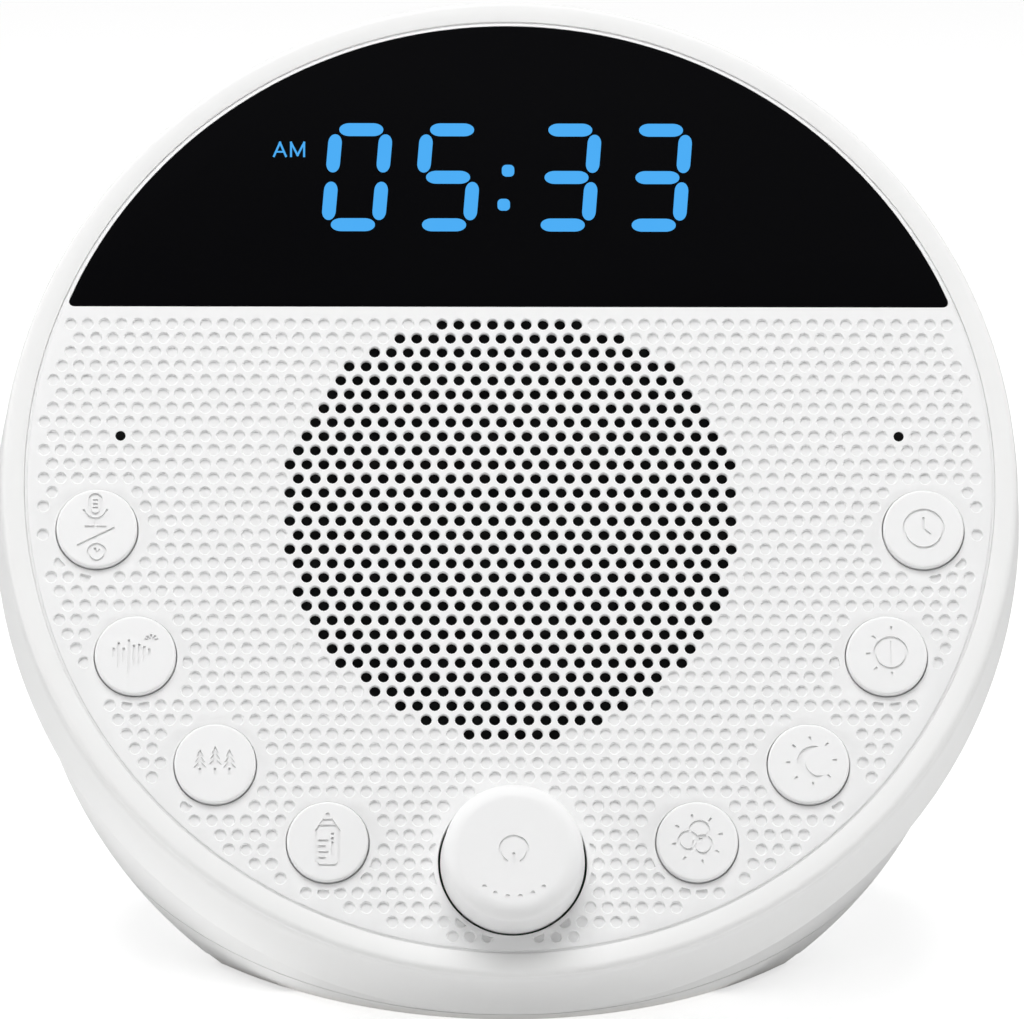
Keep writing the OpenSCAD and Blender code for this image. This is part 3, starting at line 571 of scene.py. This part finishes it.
recess = window_loop("recess", 0.05)
with editing(recess):
    push_faces(-1.0)
    pick(recess, "faces", lambda f: all(abs(v.co.z) < 1e-7 for v in f.verts))
    bpy.ops.mesh.delete(type="ONLY_FACE")
EDGE = [(61.08, 0.0), (61.2, -0.05), (61.27, -0.24), (61.57, -0.3), (61.57, -PANEL)]
KNOB_HOLE = [(9.58, 0.0), (9.4, -0.06), (9.33, -0.22), (9.33, -PANEL)]
KEY_HOLE = [(5.4, 0.0), (5.3, -0.04), (5.25, -0.12), (5.25, -PANEL)]
loops = [recess, outline("panel_edge", (0, 0), EDGE, 240), outline("knob_hole", KNOB_SPOT, KNOB_HOLE, 96)]
loops += [outline("key_hole", spot, KEY_HOLE, 64) for spot in key_spots]
panel = join("face_panel", [sheet] + loops)
with editing(panel):
    for level in (0.0, -PANEL):
        found = pick(panel, "edges", lambda e: e.is_boundary and all(
            abs(v.co.z - level * MM) < 1e-6 for v in e.verts))
        bpy.ops.mesh.fill(use_beauty=True)
        print("filled from", found, "edges at", level)
tidy_mesh(panel)
smooth(panel, 34)
seat(panel, ["front_panel"], "housing")

# %% [markdown]
# ## Painted shade in the microphone holes
#
# The two microphone ports look solid black right up to their rims, from the shade inside them. A hole alone
# would show its own bright wall, so a near-black disc with a rounded edge, a tenth of a millimetre down, is
# put in as painted shade.

# %% Add the painted shade discs in the microphone ports
# Painted shade: a near-black disc under each port stands in for the shade inside the hole.
shade_disc = lathe("shade_disc", [(0.6, -0.5), (0.655, -0.45), (0.655, -0.14), (0.6, -0.1)], around=32)
ports = join("microphone_port_shade", [copy_to(shade_disc, x, y) for x, y in spots["mic"]])
drop(shade_disc)
smooth(ports, 40)
seat(ports, [], "housing")

# %% [markdown]
# ## The clock window
#
# The window is a sheet of dark acrylic in the shape of a circle's segment, let into the panel. A plain cut
# disc would have razor edges, so the top edge gets a fine bevel that draws the thin highlight round it.

# %% Cut the window
window = window_loop("clock_window")
with editing(window):
    push_faces(-0.98)
    bpy.ops.mesh.select_all(action="SELECT")
    bpy.ops.mesh.normals_make_consistent(inside=False)
    pick(window, "edges", lambda e: all(abs(v.co.z) < 1e-6 for v in e.verts))
    bpy.ops.mesh.bevel(offset=0.1 * MM, segments=2, affect="EDGES")
smooth(window, 30)
seat(window, ["display_lens"], "housing")

# %% [markdown]
# ## The lit digits
#
# Each digit is made of seven bars with round ends, leaning by 4.8 degrees. One upright bar and one level bar
# are modelled from a plane whose corners are bevelled round, and copied to the places that the time needs.
# SHAPES says which bars a figure lights: the three level ones from the top, then the four upright ones.

# %% Model the bars and set the time
DIGIT_LEAN = math.radians(4.8)
SLANT = math.tan(DIGIT_LEAN)
DIGIT_Y, DIGIT_W, DIGIT_H, BAR, ROUND = 40.4, 6.45, 12.85, 1.75, 0.85
LIT_LOW, LIT_HIGH = -0.28, 0.02


def bar(name, length, width, corner, stretch=1.0):
    piece = add(bpy.ops.mesh.primitive_plane_add, name, size=MM)
    with editing(piece):
        bpy.ops.mesh.select_all(action="SELECT")
        bpy.ops.transform.resize(value=(length / stretch, width, 1))
        bpy.ops.mesh.bevel(offset=corner * MM, segments=7, affect="VERTICES")
        bpy.ops.mesh.select_all(action="SELECT")
        bpy.ops.transform.resize(value=(stretch, 1, 1))
        push_faces(LIT_HIGH - LIT_LOW)
    return tidy_mesh(shift(piece, 0, 0, LIT_LOW))


level_bar = bar("level_bar", DIGIT_W - 0.8, BAR, ROUND, 1.55)
upright_bar = bar("upright_bar", DIGIT_H / 2 - 1.25, BAR, ROUND, 1.4)
dot = bar("dot", 1.6, 1.6, 0.58)
upright_bar.data.transform(Matrix.Rotation(math.pi / 2 - DIGIT_LEAN, 4, "Z"))
SHAPES = {"0": (1, 0, 1, 1, 1, 1, 1), "5": (1, 1, 1, 1, 0, 0, 1), "3": (1, 1, 1, 0, 1, 0, 1)}
lit = []
for figure, x in zip("0533", (-19.42, -7.75, 7.45, 19.12)):
    shape = SHAPES[figure]
    for i in range(3):
        if shape[i]:
            h = (1 - i) * DIGIT_H / 2
            lit.append(copy_to(level_bar, x + h * SLANT, DIGIT_Y + h))
    for i in range(4):
        if shape[3 + i]:
            h = DIGIT_H / 4 * (1 if i < 2 else -1)
            side = 1 if i % 2 else -1
            lit.append(copy_to(upright_bar, x + h * SLANT + side * DIGIT_W / 2, DIGIT_Y + h))
lit += [copy_to(dot, -0.05, 41.3), copy_to(dot, -0.63, 36.7)]

# %% [markdown]
# ## Strokes
#
# The morning mark, the pictograms on the keys and the knob's symbol are all drawn with strokes of an even
# width. A font could give the two letters, but the strokes are needed for the pictograms anyway: a stroke is
# a cube stretched between two points, and rings and discs are short turned shapes.

# %% Tools for strokes
def stroke(a, b, width, low, high):
    start, end = Vector(a), Vector(b)
    along = end - start
    piece = add(bpy.ops.mesh.primitive_cube_add, "stroke", size=1,
                scale=((along.length + width) * MM, width * MM, (high - low) * MM))
    piece.data.transform(Matrix.Rotation(math.atan2(along.y, along.x), 4, "Z"))
    return shift(piece, *(start + end) / 2, (low + high) / 2)


def path(points, width, low, high):
    return [stroke(a, b, width, low, high) for a, b in zip(points, points[1:])]


def ring(centre, r, width, low, high, around=48):
    inner, outer = r - width / 2, r + width / 2
    profile = [(inner, low), (outer, low), (outer, high), (inner, high), (inner, low)]
    return shift(lathe("ring", profile, around, True), *centre)


def disc(centre, r, low, high, around=32):
    return shift(lathe("disc", [(r, low), (r, high)], around), *centre)


def bow(centre, r, start, end, width, low, high, steps=8):
    return path(arc(*centre, r, start, end, steps), width, low, high)


def rays(centre, r_in, r_out, angles, width, low, high):
    lines = []
    for a in angles:
        c, s = math.cos(math.radians(a)), math.sin(math.radians(a))
        lines.append(stroke((centre[0] + r_in * c, centre[1] + r_in * s),
                            (centre[0] + r_out * c, centre[1] + r_out * s), width, low, high))
    return lines


MARK_FOOT, MARK_TOP, MARK_W = 43.22, 45.05, 0.26
first_letter = [(-30.08, MARK_FOOT), (-29.32, MARK_TOP), (-28.56, MARK_FOOT)]
second_letter = [(-27.9, MARK_FOOT), (-27.9, MARK_TOP), (-27.06, 43.35),
                 (-26.22, MARK_TOP), (-26.22, MARK_FOOT)]
lit += path(first_letter, MARK_W, LIT_LOW, LIT_HIGH)
lit += [stroke((-29.75, 43.8), (-28.9, 43.8), 0.22, LIT_LOW, LIT_HIGH)]
lit += path(second_letter, MARK_W, LIT_LOW, LIT_HIGH)
for used in (level_bar, upright_bar, dot):
    drop(used)
digits = smooth(join("lit_digits", lit), 30)
seat(digits, ["display_segments"], "housing")

# %% [markdown]
# ## The keys
#
# A key is a turned cap with a flange that keeps it behind the panel and a stem that reaches its switch. It
# is turned once. Each of the eight copies then gets its own pictogram, sunk a quarter of a millimetre with
# a boolean cut, as a moulding tool would leave it.

# %% Turn one key
KEY_TOP = 0.8
key_blank = lathe("key_blank", [(1.7, -4.6), (1.7, -2.75), (5.9, -2.75), (5.9, -1.75), (5.11, -1.75)]
                  + arc(4.79, KEY_TOP - 0.32, 0.32, 0, 84, 5) + [(4.7, KEY_TOP)], around=96)
LOW, HIGH, FINE, THIN = KEY_TOP - 0.25, KEY_TOP + 0.3, 0.34, 0.3
print("key blank", count(key_blank))


# %% Draw the eight pictograms
def voice_and_alarm():
    marks = bow((-0.2, 3.75), 0.72, 0, 180, THIN, LOW, HIGH)
    marks += bow((-0.2, 2.6), 0.72, 180, 360, THIN, LOW, HIGH)
    marks += [stroke((x, 2.6), (x, 3.75), THIN, LOW, HIGH) for x in (-0.92, 0.52)]
    marks += [stroke((-0.42, y), (0.02, y), 0.2, LOW, HIGH) for y in (2.7, 3.2, 3.7)]
    marks += bow((-0.2, 2.75), 1.5, 195, 345, THIN, LOW, HIGH)
    marks += [stroke((-0.2, 1.3), (-0.2, 0.3), THIN, LOW, HIGH)]
    marks += [stroke((-1.4, 0.2), (1.1, 0.2), THIN, LOW, HIGH)]
    marks += [stroke((-2.3, -2.2), (2.1, 0.0), THIN, LOW, HIGH)]
    marks += [ring((0, -3.15), 1.08, THIN, LOW, HIGH, 28)]
    marks += [stroke((-0.05, -3.1), (-0.2, -2.7), 0.3, LOW, HIGH)]
    marks += [stroke((0, -3.15), (0.35, -2.85), 0.2, LOW, HIGH)]
    return marks


def sounds():
    tops = (0.8, 1.5, 0.8, 1.9, 1.15, 1.3, 1.0, 0.7)
    lows = (-0.1, -1.4, -0.65, -2.2, -1.2, -1.2, -0.65, -0.3)
    marks = [stroke((-2.73 + 0.64 * i, low), (-2.73 + 0.64 * i, top), 0.3, LOW, HIGH)
             for i, (top, low) in enumerate(zip(tops, lows))]
    x, y = 2.0, 1.95
    for a in (10, 52, 92, 132, 170):
        c, s = math.cos(math.radians(a)), math.sin(math.radians(a))
        marks.append(stroke((x + 0.3 * c, y + 0.25 * s), (x + 0.75 * c, y + 0.6 * s), 0.27, LOW, HIGH))
    return marks


def fir_tier(x, y, width, height):
    tier = add(bpy.ops.mesh.primitive_cylinder_add, "tier", vertices=3, radius=MM, depth=(HIGH - LOW) * MM)
    with editing(tier):
        bpy.ops.mesh.select_all(action="SELECT")
        bpy.ops.transform.resize(value=(width / math.sqrt(3), height / 1.5, 1))
    return shift(tier, x, y + height / 3, (LOW + HIGH) / 2)


def forest():
    marks, tall = [], 0.95
    for x, top in ((-1.9, 1.75), (0.0, 2.15), (1.8, 1.75)):
        for i, width in enumerate((0.9, 1.3, 1.65)):
            marks.append(fir_tier(x, top - tall - i * 0.72, width, tall))
        marks.append(stroke((x, -0.7), (x, -1.35), 0.28, LOW, HIGH))
    return marks


def feeding():
    body = [(-1.4, 1.4), (-1.4, -2.6), (-1.15, -3.05), (1.15, -3.05), (1.4, -2.6), (1.4, 1.4), (1.0, 2.0),
            (-1.0, 2.0), (-1.4, 1.4)]
    marks = path(body, THIN, LOW, HIGH)
    marks += path([(-0.8, 2.35), (-0.5, 2.75), (0.5, 2.75), (0.8, 2.35)], THIN, LOW, HIGH)
    marks += [disc((0, 3.45), 0.26, LOW, HIGH, 16), disc((0.6, 0.95), 0.2, LOW, HIGH, 12),
              disc((0.6, 0.35), 0.2, LOW, HIGH, 12), stroke((0.6, -0.15), (0.6, -1.7), THIN, LOW, HIGH)]
    marks += [stroke((-1.0, y), (-1.0 + long, y), THIN, LOW, HIGH)
              for y, long in ((0.1, 0.95), (-0.65, 0.6), (-1.4, 0.95), (-2.15, 0.6))]
    return marks


def clock():
    return [ring((0, 0), 2.5, FINE, LOW, HIGH), stroke((0, 0.1), (0, 1.4), 0.26, LOW, HIGH),
            stroke((0.05, -0.05), (0.8, -0.65), 0.26, LOW, HIGH)]


def sun():
    middle = Vector((0.5, 0.3))
    marks = [ring(middle, 2.02, FINE, LOW, HIGH), stroke((0.5, 1.8), (0.5, -1.2), 0.14, LOW + 0.11, HIGH)]
    for spot in ((0.6, 3.5), (-1.6, 2.35), (-2.35, 0.2), (-1.45, -1.75), (0.6, -2.45)):
        half = (Vector(spot) - middle).normalized() * 0.15
        marks.append(stroke(Vector(spot) - half, Vector(spot) + half, 0.26, LOW, HIGH))
    return marks


def moon():
    crescent = disc((0.65, 0.2), 2.1, LOW, HIGH, 64)
    bite = disc((1.45, 0.32), 1.88, LOW - 0.1, HIGH + 0.1, 64)
    apply_modifier(crescent, "BOOLEAN", operation="DIFFERENCE", object=bite, solver="EXACT")
    drop(bite)
    return [crescent] + rays((0.35, 0.3), 2.8, 3.05, [a + 3 for a in range(0, 360, 45)], 0.26, LOW, HIGH)


def colours():
    marks = [ring(spot, 1.15, FINE, LOW, HIGH, 36) for spot in ((0.27, 1.45), (-1.15, 0.1), (0.65, -0.4))]
    return marks + rays((0, 0.3), 2.85, 3.1, [a + 12 for a in range(0, 360, 45)], 0.26, LOW, HIGH)


# %% Cut each pictogram into its key
def engrave(piece, marks):
    cutter = join("pictogram", marks)
    with editing(cutter):
        bpy.ops.mesh.select_all(action="SELECT")
        bpy.ops.mesh.normals_make_consistent(inside=False)
    apply_modifier(piece, "BOOLEAN", operation="DIFFERENCE", object=cutter, solver="EXACT", use_self=True)
    drop(cutter)
    return piece


KEYS = {"key_feeding": feeding, "key_forest": forest, "key_sounds": sounds,
        "key_voice_alarm": voice_and_alarm, "key_colours": colours, "key_moon": moon,
        "key_sun": sun, "key_clock": clock}
for (name, drawing), spot in zip(KEYS.items(), key_spots):
    cap = engrave(copy_to(key_blank), drawing())
    cap.name = cap.data.name = name + "_cap"
    smooth(shift(cap, *spot), 30)
    seat(cap, [name], name)
drop(key_blank)

# %% [markdown]
# ## The knob
#
# The knob stands 6.9 mm proud and has a generous round, 2.15 mm, from its flat top to its side. That round is
# the brightest thing on the panel, so it gets twelve steps. The symbol and the six dots of its scale are cut
# in like the pictograms.

# %% Turn and engrave the knob
KNOB_TOP = 6.9
knob = lathe("knob_cap", [(8.7, -0.8), (9.05, -0.6), (9.05, 0.1), (8.92, 0.8), (8.8, 2.0), (8.75, 3.2)]
             + arc(6.6, 4.75, 2.15, 0, 87, 12) + [(6.5, KNOB_TOP)], around=144)
LOW, HIGH = KNOB_TOP - 0.2, KNOB_TOP + 0.3
marks = bow((0, 0), 1.72, -58, 238, 0.32, LOW, HIGH, 24) + [stroke((0, -0.5), (0, -1.7), 0.3, LOW, HIGH)]
for a in (-38, -22.8, -7.6, 7.6, 22.8, 38):
    turn = math.radians(a)
    marks.append(disc((6.0 * math.sin(turn), -6.0 * math.cos(turn)), 0.27, LOW, HIGH, 14))
engrave(knob, marks)
smooth(shift(knob, *KNOB_SPOT), 30)
seat(knob, ["control_knob"], "knob")

# %% [markdown]
# ## Finishes
#
# Nothing here is a flat colour. The white mouldings have the fine grain of an eroded steel tool and a colour
# that drifts by a hundredth from place to place. That effect is shared by many materials, so it is a node
# group with named inputs, which gives back a colour, a roughness and a normal.

# %% The shared grain group
def make_group(name, inputs, outputs):
    group = bpy.data.node_groups.new(name, "ShaderNodeTree")
    for label, kind, value in inputs:
        socket = group.interface.new_socket(name=label, in_out="INPUT", socket_type=kind)
        socket.default_value = value
    for label, kind in outputs:
        group.interface.new_socket(name=label, in_out="OUTPUT", socket_type=kind)
    return group, group.nodes.new("NodeGroupInput"), group.nodes.new("NodeGroupOutput")


grain, given, result = make_group(
    "moulded_grain",
    [("Color", "NodeSocketColor", (0.8, 0.8, 0.8, 1)),
     ("Drift Color", "NodeSocketColor", (0.78, 0.78, 0.77, 1)),
     ("Drift Scale", "NodeSocketFloat", 25.0), ("Grain Scale", "NodeSocketFloat", 4500.0),
     ("Grain Depth", "NodeSocketFloat", 0.12), ("Roughness", "NodeSocketFloat", 0.45),
     ("Roughness Spread", "NodeSocketFloat", 0.08)],
    [("Color", "NodeSocketColor"), ("Roughness", "NodeSocketFloat"), ("Normal", "NodeSocketVector")])
node, link = grain.nodes.new, grain.links.new
place = node("ShaderNodeTexCoord")
drift = node("ShaderNodeTexNoise")
drift.inputs["Detail"].default_value = 3
link(place.outputs["Object"], drift.inputs["Vector"])
link(given.outputs["Drift Scale"], drift.inputs["Scale"])
blend = node("ShaderNodeMix")
blend.data_type = "RGBA"
link(drift.outputs["Fac"], blend.inputs["Factor"])
link(given.outputs["Color"], blend.inputs["A"])
link(given.outputs["Drift Color"], blend.inputs["B"])
link(blend.outputs["Result"], result.inputs["Color"])
fine = node("ShaderNodeTexNoise")
fine.inputs["Detail"].default_value = 2
link(place.outputs["Object"], fine.inputs["Vector"])
link(given.outputs["Grain Scale"], fine.inputs["Scale"])
centred = node("ShaderNodeMath")
centred.operation = "SUBTRACT"
centred.inputs[1].default_value = 0.5
link(drift.outputs["Fac"], centred.inputs[0])
spread = node("ShaderNodeMath")
spread.operation = "MULTIPLY_ADD"
link(centred.outputs[0], spread.inputs[0])
link(given.outputs["Roughness Spread"], spread.inputs[1])
link(given.outputs["Roughness"], spread.inputs[2])
link(spread.outputs[0], result.inputs["Roughness"])
bump = node("ShaderNodeBump")
bump.inputs["Distance"].default_value = 0.00002
link(given.outputs["Grain Depth"], bump.inputs["Strength"])
link(fine.outputs["Fac"], bump.inputs["Height"])
link(bump.outputs["Normal"], result.inputs["Normal"])
print("group", grain.name, len(grain.nodes))


# %% [markdown]
# ## One recipe, many materials
#
# Each material places the group with its own values. What is the same all over a surface, such as metal or
# coat, is set on the shader itself, so that it survives an export. The lit bars alone get a black base
# colour, so that they show nothing but their own light.

# %% Make materials from the recipe
def finish(name, colour, drift_to=None, rough=0.45, spread_by=0.08, grain_scale=4500.0, grain_depth=0.12,
           drift_scale=25.0, metal=0.0, coat=0.0, specular=0.5, glow=None):
    material = bpy.data.materials.new(name)
    material.use_nodes = True
    tree = material.node_tree
    shader = tree.nodes["Principled BSDF"]
    group = tree.nodes.new("ShaderNodeGroup")
    group.node_tree = grain
    drift_to = drift_to or tuple(v * 0.97 for v in colour)
    group.inputs["Color"].default_value = (*colour, 1)
    group.inputs["Drift Color"].default_value = (*drift_to, 1)
    group.inputs["Drift Scale"].default_value = drift_scale
    group.inputs["Grain Scale"].default_value = grain_scale
    group.inputs["Grain Depth"].default_value = grain_depth
    group.inputs["Roughness"].default_value = rough
    group.inputs["Roughness Spread"].default_value = spread_by
    tree.links.new(group.outputs["Color"], shader.inputs["Base Color"])
    tree.links.new(group.outputs["Roughness"], shader.inputs["Roughness"])
    tree.links.new(group.outputs["Normal"], shader.inputs["Normal"])
    shader.inputs["Metallic"].default_value = metal
    shader.inputs["Coat Weight"].default_value = coat
    shader.inputs["Specular IOR Level"].default_value = specular
    if glow:
        tree.links.new(group.outputs["Color"], shader.inputs["Emission Color"])
        shader.inputs["Emission Strength"].default_value = glow
    return material


def dress(piece, material):
    piece.data.materials.clear()
    piece.data.materials.append(material)


shell_white = finish("shell_white", (0.86, 0.86, 0.855), (0.84, 0.84, 0.835), rough=0.42)
panel_white = finish("panel_white", (0.86, 0.86, 0.86), (0.845, 0.845, 0.845), rough=0.5)
key_white = finish("key_white", (0.87, 0.87, 0.87), (0.855, 0.855, 0.855), rough=0.42)
knob_white = finish("knob_white", (0.86, 0.86, 0.86), (0.845, 0.845, 0.845), rough=0.36)
diffuser_milky = finish("diffuser_milky", (0.88, 0.87, 0.85), (0.86, 0.85, 0.83), rough=0.3, drift_scale=60)
lens_black = finish("lens_black", (0.0024, 0.0024, 0.003), (0.003, 0.003, 0.0034), rough=0.12, spread_by=0.05,
                    grain_depth=0.02, specular=0.03)
lit_blue = finish("lit_blue", (0.072, 0.43, 0.955), (0.082, 0.45, 0.965), rough=0.25, drift_scale=220,
                  glow=0.96, grain_depth=0.02, specular=0.1)
lit_blue.node_tree.nodes["Principled BSDF"].inputs["Base Color"].default_value = (0.0, 0.0, 0.0, 1)
for wire in [w for w in lit_blue.node_tree.links if w.to_socket.name == "Base Color"]:
    lit_blue.node_tree.links.remove(wire)
foot_rubber = finish("foot_rubber", (0.16, 0.16, 0.16), (0.13, 0.13, 0.13), rough=0.8, grain_depth=0.3)
for piece, material in ((front_shell, shell_white), (rear_shell, shell_white), (base_cover, shell_white),
                        (panel, panel_white), (knob, knob_white), (diffuser, diffuser_milky),
                        (window, lens_black), (digits, lit_blue), (feet, foot_rubber)):
    dress(piece, material)
# Near-black finish on the port discs: painted shade for the dark inside the microphone holes.
dress(ports, finish("port_painted_shade", (0.004, 0.004, 0.004), (0.006, 0.006, 0.006), rough=0.9, grain_scale=9000,
                    grain_depth=0.5, specular=0.1))
for name in KEYS:
    dress(bpy.data.objects[name + "_cap"], key_white)

# %% [markdown]
# ## What is inside
#
# The speaker, boards and screws hardly show, but someone who opens the file will look. Their solids keep
# their shape and get finishes of their own: pressed paper, ferrite, solder mask, zinc plated steel.

# %% Dress the inner pieces
inner = {
    finish("module_black", (0.03, 0.03, 0.032), rough=0.55, grain_depth=0.2):
        ["display_module", "key_switches", "main_chips"],
    finish("cloth_black", (0.005, 0.005, 0.005), (0.008, 0.008, 0.008), rough=0.95, grain_scale=9000,
           grain_depth=0.6):
        ["acoustic_cloth"],
    finish("foam_grey", (0.05, 0.05, 0.05), rough=0.9, grain_scale=6000, grain_depth=0.7): ["speaker_gasket"],
    finish("basket_black", (0.02, 0.02, 0.022), rough=0.35, metal=0.2): ["speaker_basket"],
    finish("ferrite", (0.045, 0.045, 0.05), rough=0.6, grain_depth=0.3): ["speaker_magnet"],
    finish("pressed_paper", (0.03, 0.03, 0.03), (0.05, 0.05, 0.05), rough=0.85, grain_scale=3000,
           grain_depth=0.5):
        ["speaker_cone", "speaker_dust_cap"],
    finish("soft_rubber", (0.02, 0.02, 0.02), rough=0.7): ["speaker_surround", "microphone_boots"],
    finish("spider_cloth", (0.42, 0.25, 0.07), rough=0.9, grain_scale=5000, grain_depth=0.6):
        ["speaker_spider"],
    finish("wound_copper", (0.55, 0.22, 0.08), rough=0.3, metal=1.0, grain_scale=8000): ["voice_coil"],
    finish("zinc_steel", (0.5, 0.51, 0.53), rough=0.32, metal=1.0, grain_depth=0.05):
        ["speaker_screws", "key_board_screws", "main_board_screws", "case_screws"],
    finish("solder_mask", (0.01, 0.09, 0.035), (0.015, 0.11, 0.04), rough=0.3, drift_scale=300, coat=0.3):
        ["key_board", "main_board", "power_board"],
    finish("pressed_steel", (0.55, 0.56, 0.58), rough=0.28, metal=1.0, grain_depth=0.05):
        ["encoder_body", "power_socket", "microphones"],
    finish("turned_aluminium", (0.7, 0.7, 0.72), rough=0.25, metal=1.0, grain_depth=0.05): ["encoder_shaft"],
    finish("natural_plastic", (0.7, 0.7, 0.68), rough=0.4): ["encoder_plunger"],
    finish("ribbon_white", (0.7, 0.7, 0.67), rough=0.35): ["ribbon_cable"],
    finish("lead_red", (0.4, 0.02, 0.015), rough=0.4): ["speaker_leads"],
    finish("white_mask", (0.8, 0.8, 0.77), rough=0.35, drift_scale=300): ["light_board"],
    finish("led_yellow", (0.8, 0.65, 0.2), rough=0.25, drift_scale=500): ["light_leds"],
}
for material, names in inner.items():
    for name in names:
        dress(nodes[name], material)
print("inner finishes", len(inner))

# %% [markdown]
# ## Light and floor
#
# The photograph has plain, soft studio light and a white ground. One large lamp from above gives the shapes
# and two low ones light the sides. Two small lamps just over the floor stand for the light that the white
# ground throws up under the front. The sky is dim towards the viewer, as a studio is, which draws the soft
# dark crescent under the knob's round, and brighter at the back. To the camera it shows as pure white, and
# the pale floor is lifted for the camera until only a faint shadow is left on it.

# %% Set the light and the floor
world = bpy.data.worlds.new("studio")
bpy.context.scene.world = world
world.use_nodes = True
sky = world.node_tree
sky.nodes.clear()
seen, lighting, white = (sky.nodes.new(kind) for kind in
                         ("ShaderNodeLightPath", "ShaderNodeBackground", "ShaderNodeBackground"))
either, choice, out = (sky.nodes.new(kind) for kind in
                       ("ShaderNodeMath", "ShaderNodeMixShader", "ShaderNodeOutputWorld"))
way, parts, shade = (sky.nodes.new(kind) for kind in
                     ("ShaderNodeTexCoord", "ShaderNodeSeparateXYZ", "ShaderNodeMapRange"))
sky.links.new(way.outputs["Generated"], parts.inputs[0])
sky.links.new(parts.outputs["Y"], shade.inputs["Value"])
for label, value in (("From Min", -0.9), ("From Max", 0.3), ("To Min", 0.13), ("To Max", 0.44)):
    shade.inputs[label].default_value = value
sky.links.new(shade.outputs[0], lighting.inputs["Strength"])
lighting.inputs["Color"].default_value = (1, 1, 1, 1)
white.inputs["Color"].default_value = (1, 1, 1, 1)
white.inputs["Strength"].default_value = 1.0
either.operation = "MAXIMUM"
sky.links.new(seen.outputs["Is Camera Ray"], either.inputs[0])
sky.links.new(seen.outputs["Is Transmission Ray"], either.inputs[1])
sky.links.new(either.outputs[0], choice.inputs["Fac"])
sky.links.new(lighting.outputs[0], choice.inputs[1])
sky.links.new(white.outputs[0], choice.inputs[2])
sky.links.new(choice.outputs[0], out.inputs["Surface"])


def lamp(name, place_at, look_at, size, watts):
    light = bpy.data.lights.new(name, "AREA")
    light.shape = "ELLIPSE"
    light.size, light.size_y = size
    light.energy = watts
    holder = bpy.data.objects.new(name, light)
    bpy.context.scene.collection.objects.link(holder)
    holder.location = place_at
    holder.rotation_euler = (Vector(look_at) - Vector(place_at)).to_track_quat("-Z", "Y").to_euler()
    holder.visible_glossy = holder.visible_camera = False
    return holder


lamp("key_lamp", (-0.08, -0.38, 1.1), (0, 0, 0.06), (0.8, 0.8), 11.1)
lamp("left_fill", (-0.85, -0.2, 0.05), (0, 0, 0.03), (0.5, 0.5), 2.7)
lamp("right_fill", (0.85, -0.2, 0.05), (0, 0, 0.03), (0.5, 0.5), 2.7)
lamp("foot_light", (-0.004, -0.03, 0.0003), (-0.004, -0.03, 1), (0.14, 0.034), 0.0034)
lamp("left_foot_light", (-0.062, -0.028, 0.0003), (-0.062, -0.028, 1), (0.07, 0.05), 0.0026)

floor = add(bpy.ops.mesh.primitive_plane_add, "floor", size=8)
floor_white = bpy.data.materials.new("floor_white")
floor_white.use_nodes = True
ground = floor_white.node_tree
paint = ground.nodes["Principled BSDF"]
paint.inputs["Base Color"].default_value = (0.76, 0.76, 0.76, 1)
paint.inputs["Roughness"].default_value = 0.9
paint.inputs["Specular IOR Level"].default_value = 0.1
paint.inputs["Emission Color"].default_value = (1, 1, 1, 1)
view_ray = ground.nodes.new("ShaderNodeLightPath")
lift = ground.nodes.new("ShaderNodeMath")
lift.operation = "MULTIPLY"
lift.inputs[1].default_value = 0.61
ground.links.new(view_ray.outputs["Is Camera Ray"], lift.inputs[0])
ground.links.new(lift.outputs[0], paint.inputs["Emission Strength"])
dress(floor, floor_white)
bpy.context.scene.view_settings.view_transform = "Standard"
